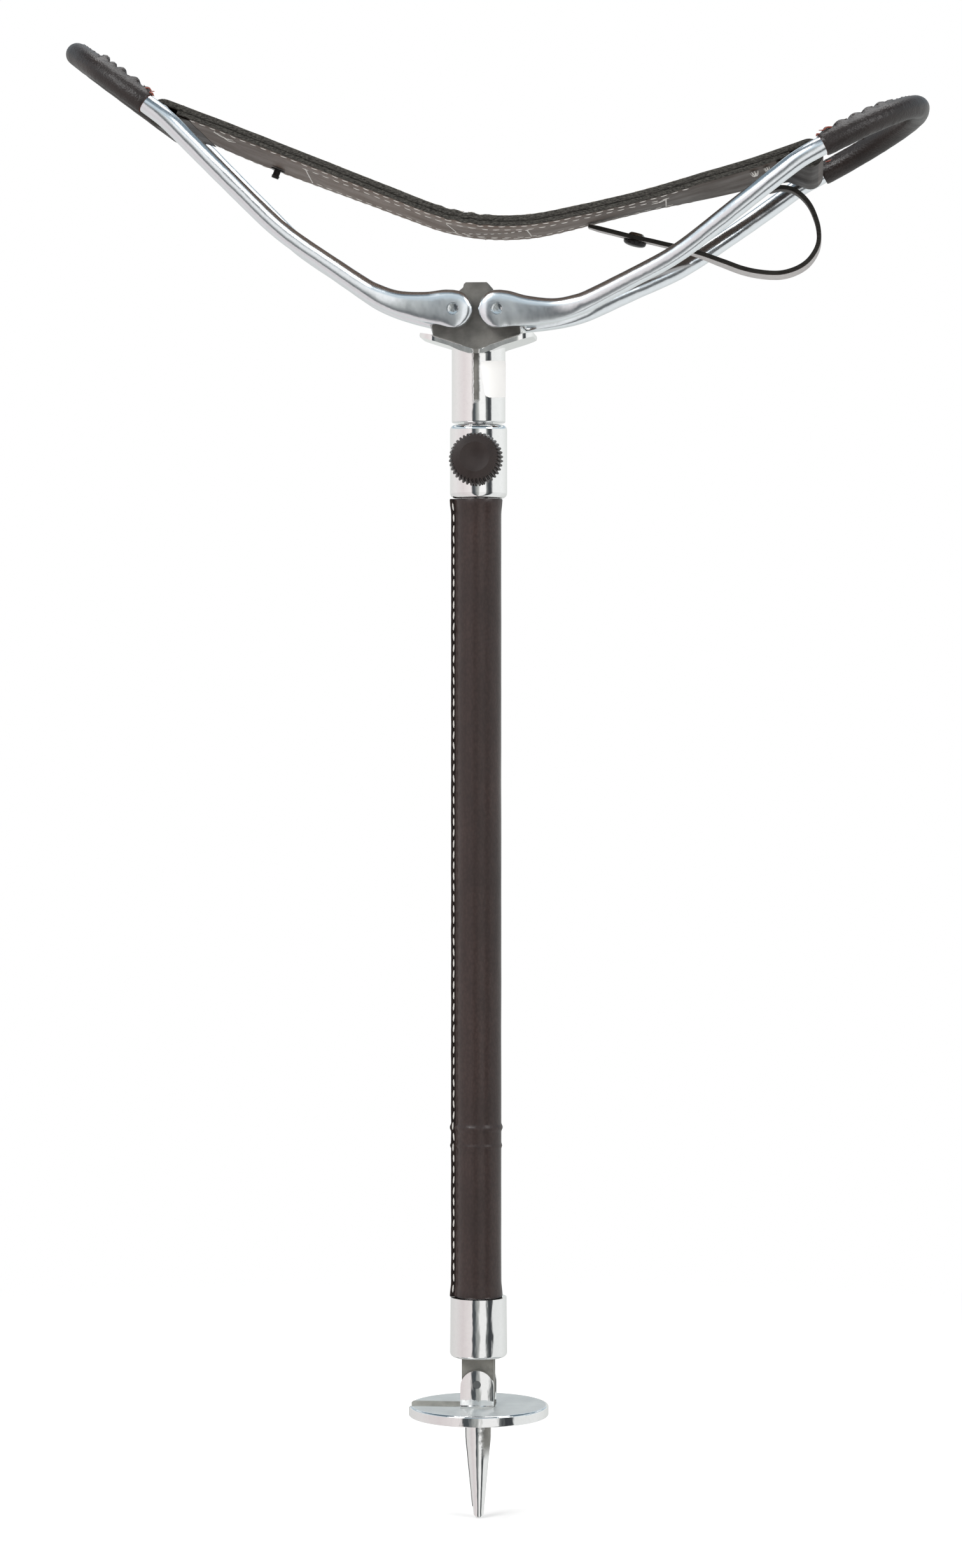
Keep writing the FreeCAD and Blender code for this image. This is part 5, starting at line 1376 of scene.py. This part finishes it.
class MetalMaker(bpy.types.Operator):
    """Finishes of the castings, tubes, pins and the clamp knob"""
    bl_idname = "stick_seat.metalwork"
    bl_label = "Metalwork"

    def execute(self, context):
        looks = context.scene.stick_metal
        polish, cast = tone_of(looks.polish), tone_of(looks.as_cast)
        finish = {
            "head_casting": finish_of("head_cast_aluminium", half_polished, polish, cast, head_mask),
            "foot_casting": finish_of("foot_cast_aluminium", half_polished, polish,
                                      linear("#98968f"), foot_mask, 7.0, 0.3, 0.35),
            "ground_plate": finish_of("plate_cast_aluminium", half_polished, polish,
                                      linear("#b9bab4"), plate_mask, 6.0, 0.22, 0.4),
            "clamp_collar": finish_of("buffed_cast_aluminium", polished, polish),
            "crossbar_left": finish_of("turned_aluminium_bar", drawn_metal, polish, 0.3),
            "outer_tube": finish_of("drawn_aluminium_tube", drawn_metal, linear("#d9dadb"), 0.26),
            "knob": finish_of("moulded_phenolic_knob", moulded_resin, tone_of(looks.knob)),
            "clamp_screw": finish_of("zinc_plated_steel", drawn_metal, linear("#b8b6ae"), 0.34),
            "plate_pin": finish_of("turned_steel_pin", drawn_metal, linear("#9a9b9c"), 0.3),
            "threaded_insert": finish_of("turned_brass", drawn_metal, linear("#c9a457"), 0.3),
            "guide_bush": finish_of("moulded_nylon_bush", moulded_resin, linear("#3a3836"), 0.5),
            "snap_stud": finish_of("japanned_brass_snap", moulded_resin, tone_of(looks.snap), 0.22),
        }
        dome_ears(finish["ground_plate"])
        same = {"crossbar_right": "crossbar_left", "inner_tube": "outer_tube",
                "inner_tube_foot": "guide_bush", "tube_bottom_plug": "guide_bush",
                "clamp_pad": "guide_bush", "head_pin": "plate_pin", "collar_pin": "plate_pin",
                "ferrule_pin": "plate_pin"}
        for node, other in same.items():
            finish[node] = finish[other]
        for name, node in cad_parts.items():
            if name in finish:
                for slot in node.material_slots:
                    slot.material = finish[name]
        return {"FINISHED"}


# Stage

def fill_ramp(ramp, stops, low=0.0, high=1.0):
    """Colour a ramp by (value, colour) stops between a low and a high value."""
    for at, (value, code) in enumerate(stops):
        stop = ramp.elements[at] if at < 2 else ramp.elements.new(1.0)
        stop.position = (value - low) / (high - low)
        stop.color = linear(code)


def mirrored_cards(tree, way):
    """Colour of the cards in one direction from the stick."""
    parts = add_node(tree, "ShaderNodeSeparateXYZ", {0: way}).outputs
    away = add_node(tree, "ShaderNodeMath", {0: parts["Y"], 1: -1.0}, operation="MULTIPLY")
    azimuth = add_node(tree, "ShaderNodeMath", {0: parts["X"], 1: away}, operation="ARCTAN2")
    share = add_node(tree, "ShaderNodeMapRange", {0: azimuth, 1: -math.pi, 2: math.pi})
    cards = add_node(tree, "ShaderNodeValToRGB", {"Fac": share})
    fill_ramp(cards.color_ramp, GLOSS_AROUND, -180, 180)
    return cards


def ray_kinds(tree):
    """Whether a ray looks for a mirror image, and whether it is the camera's own."""
    seen = add_node(tree, "ShaderNodeLightPath").outputs
    direct = add_node(tree, "ShaderNodeMath", {0: seen["Is Camera Ray"], 1: seen["Is Transmission Ray"]},
                      operation="MAXIMUM")
    return seen["Is Glossy Ray"], direct


class StageMaker(bpy.types.Operator):
    """Pale floor, soft lamps, a studio sky and the camera"""
    bl_idname = "stick_seat.stage"
    bl_label = "Stage"

    def execute(self, context):
        looks = context.scene.stick_stage
        self.make_floor(looks)
        self.make_sky(context)
        for name, place, aim_high, size, power in LAMPS:
            lamp = bpy.data.lights.new(name, "AREA")
            lamp.shape = "DISK"
            lamp.size = size
            lamp.energy = power * looks.lamp_level
            holder = put_in_scene(name, lamp)
            holder.location = place
            aim = Vector((0, 0, aim_high)) - holder.location
            holder.rotation_euler = aim.to_track_quat("-Z", "Y").to_euler()
        self.make_camera(context, looks.distance)
        context.scene.view_settings.view_transform = "Standard"
        return {"FINISHED"}

    def make_floor(self, looks):
        """Matt and pale near the stick, white beyond it, and the cards again for mirror images."""
        reach = 9.0
        corners = ((-1, -1), (1, -1), (1, 1), (-1, 1))
        mesh = bpy.data.meshes.new("floor")
        mesh.from_pydata([(x * reach, y * reach, FLOOR_Z * MM) for x, y in corners], [], [(0, 1, 2, 3)])
        floor = put_in_scene("floor", mesh)
        material, tree, shader, where = new_surface("matt_white_floor", {
            "Base Color": tone_of(looks.floor), "Roughness": 0.9, "Specular IOR Level": 0.0,
            "Emission Color": WHITE})
        glossy, direct = ray_kinds(tree)
        lift = add_node(tree, "ShaderNodeMath", {0: direct, 1: 0.3}, operation="MULTIPLY")
        connect(shader, {"Emission Strength": lift})
        far = add_node(tree, "ShaderNodeVectorMath", {0: where}, operation="LENGTH").outputs["Value"]
        beyond = add_node(tree, "ShaderNodeMapRange", {0: far, 1: 0.3, 2: 0.9},
                          interpolation_type="SMOOTHSTEP")
        plain = add_node(tree, "ShaderNodeMath", {0: beyond, 1: direct}, operation="MULTIPLY")
        white = add_node(tree, "ShaderNodeEmission", {"Color": WHITE})
        cards = add_node(tree, "ShaderNodeEmission", {"Color": mirrored_cards(tree, where),
                                                      "Strength": 0.9})
        first = add_node(tree, "ShaderNodeMixShader", {0: plain, 1: shader, 2: white})
        second = add_node(tree, "ShaderNodeMixShader", {0: glossy, 1: first, 2: cards})
        connect(tree.nodes["Material Output"], {"Surface": second})
        mesh.materials.append(material)

    def make_sky(self, context):
        """White for the camera, an even light, and white cards with dark gaps for the metal to mirror."""
        world = bpy.data.worlds.new("studio")
        context.scene.world = world
        world.use_nodes = True
        tree = world.node_tree
        tree.nodes.clear()
        way = add_node(tree, "ShaderNodeTexCoord").outputs["Generated"]
        rise = add_node(tree, "ShaderNodeSeparateXYZ", {0: way}).outputs["Z"]
        overhead = add_node(tree, "ShaderNodeValToRGB", {"Fac": rise})
        fill_ramp(overhead.color_ramp, GLOSS_ABOVE)
        above = add_node(tree, "ShaderNodeMapRange", {0: rise, 1: 0.13, 2: 0.3},
                         interpolation_type="SMOOTHSTEP")
        room = add_node(tree, "ShaderNodeMix", {0: above, 6: mirrored_cards(tree, way), 7: overhead},
                        data_type="RGBA")
        glossy, direct = ray_kinds(tree)
        even = add_node(tree, "ShaderNodeBackground", {"Color": WHITE, "Strength": 0.5})
        mirrored = add_node(tree, "ShaderNodeBackground", {"Color": room.outputs[2], "Strength": 1.0})
        white = add_node(tree, "ShaderNodeBackground", {"Color": WHITE, "Strength": 1.0})
        first = add_node(tree, "ShaderNodeMixShader", {0: glossy, 1: even, 2: mirrored})
        second = add_node(tree, "ShaderNodeMixShader", {0: direct, 1: first, 2: white})
        add_node(tree, "ShaderNodeOutputWorld", {"Surface": second})

    def make_camera(self, context, distance):
        """A level camera, its lens shifted so that the stick stands where the photograph has it."""
        lens = bpy.data.cameras.new("camera")
        lens.lens = 96.0
        lens.clip_end = 50
        lens.shift_x = (PHOTO_WIDE / 2 - AXIS_PX) / PHOTO_HIGH
        lens.shift_y = (HORIZON_PX - PHOTO_HIGH / 2) / PHOTO_HIGH
        camera = put_in_scene("camera", lens)
        turn = math.radians(CAMERA_TURN)
        level = CAMERA_Z * MM
        camera.location = Vector((math.sin(turn) * distance, -math.cos(turn) * distance, level))
        aim = Vector((0, 0, level)) - camera.location
        camera.rotation_euler = aim.to_track_quat("-Z", "Y").to_euler()
        context.scene.camera = camera


class StickSeatPanel(bpy.types.Panel):
    """Sizes, colours and makers of the walking stick seat"""
    bl_idname = "VIEW3D_PT_stick_seat"
    bl_label = "Walking stick seat"
    bl_space_type = "VIEW_3D"
    bl_region_type = "UI"
    bl_category = "Stick Seat"

    def draw(self, context):
        for group in groups:
            settings = getattr(context.scene, group)
            box = self.layout.box()
            for field in settings.bl_rna.properties:
                if not field.is_readonly and field.identifier != "name":
                    box.prop(settings, field.identifier)
        for maker in makers:
            self.layout.operator(maker.bl_idname)


groups = {"stick_leather": LeatherLooks, "stick_thread": ThreadLooks, "stick_metal": MetalLooks,
          "stick_stage": StageLooks}
makers = (MetalMaker, SleeveMaker, ArmMaker, PinMaker, GripMaker, SeatMaker, SeatStitchMaker, StrapMaker,
          LabelMaker, StageMaker)


def register():
    for kind in list(groups.values()) + list(makers) + [StickSeatPanel]:
        bpy.utils.register_class(kind)
    for name, kind in groups.items():
        setattr(bpy.types.Scene, name, bpy.props.PointerProperty(type=kind))


def unregister():
    for name in groups:
        delattr(bpy.types.Scene, name)
    for kind in [StickSeatPanel] + list(reversed(makers)) + list(groups.values()):
        bpy.utils.unregister_class(kind)


def main():
    register()
    for maker in makers:
        module, operator = maker.bl_idname.split(".")
        getattr(getattr(bpy.ops, module), operator)()


if __name__ == "__main__":
    main()
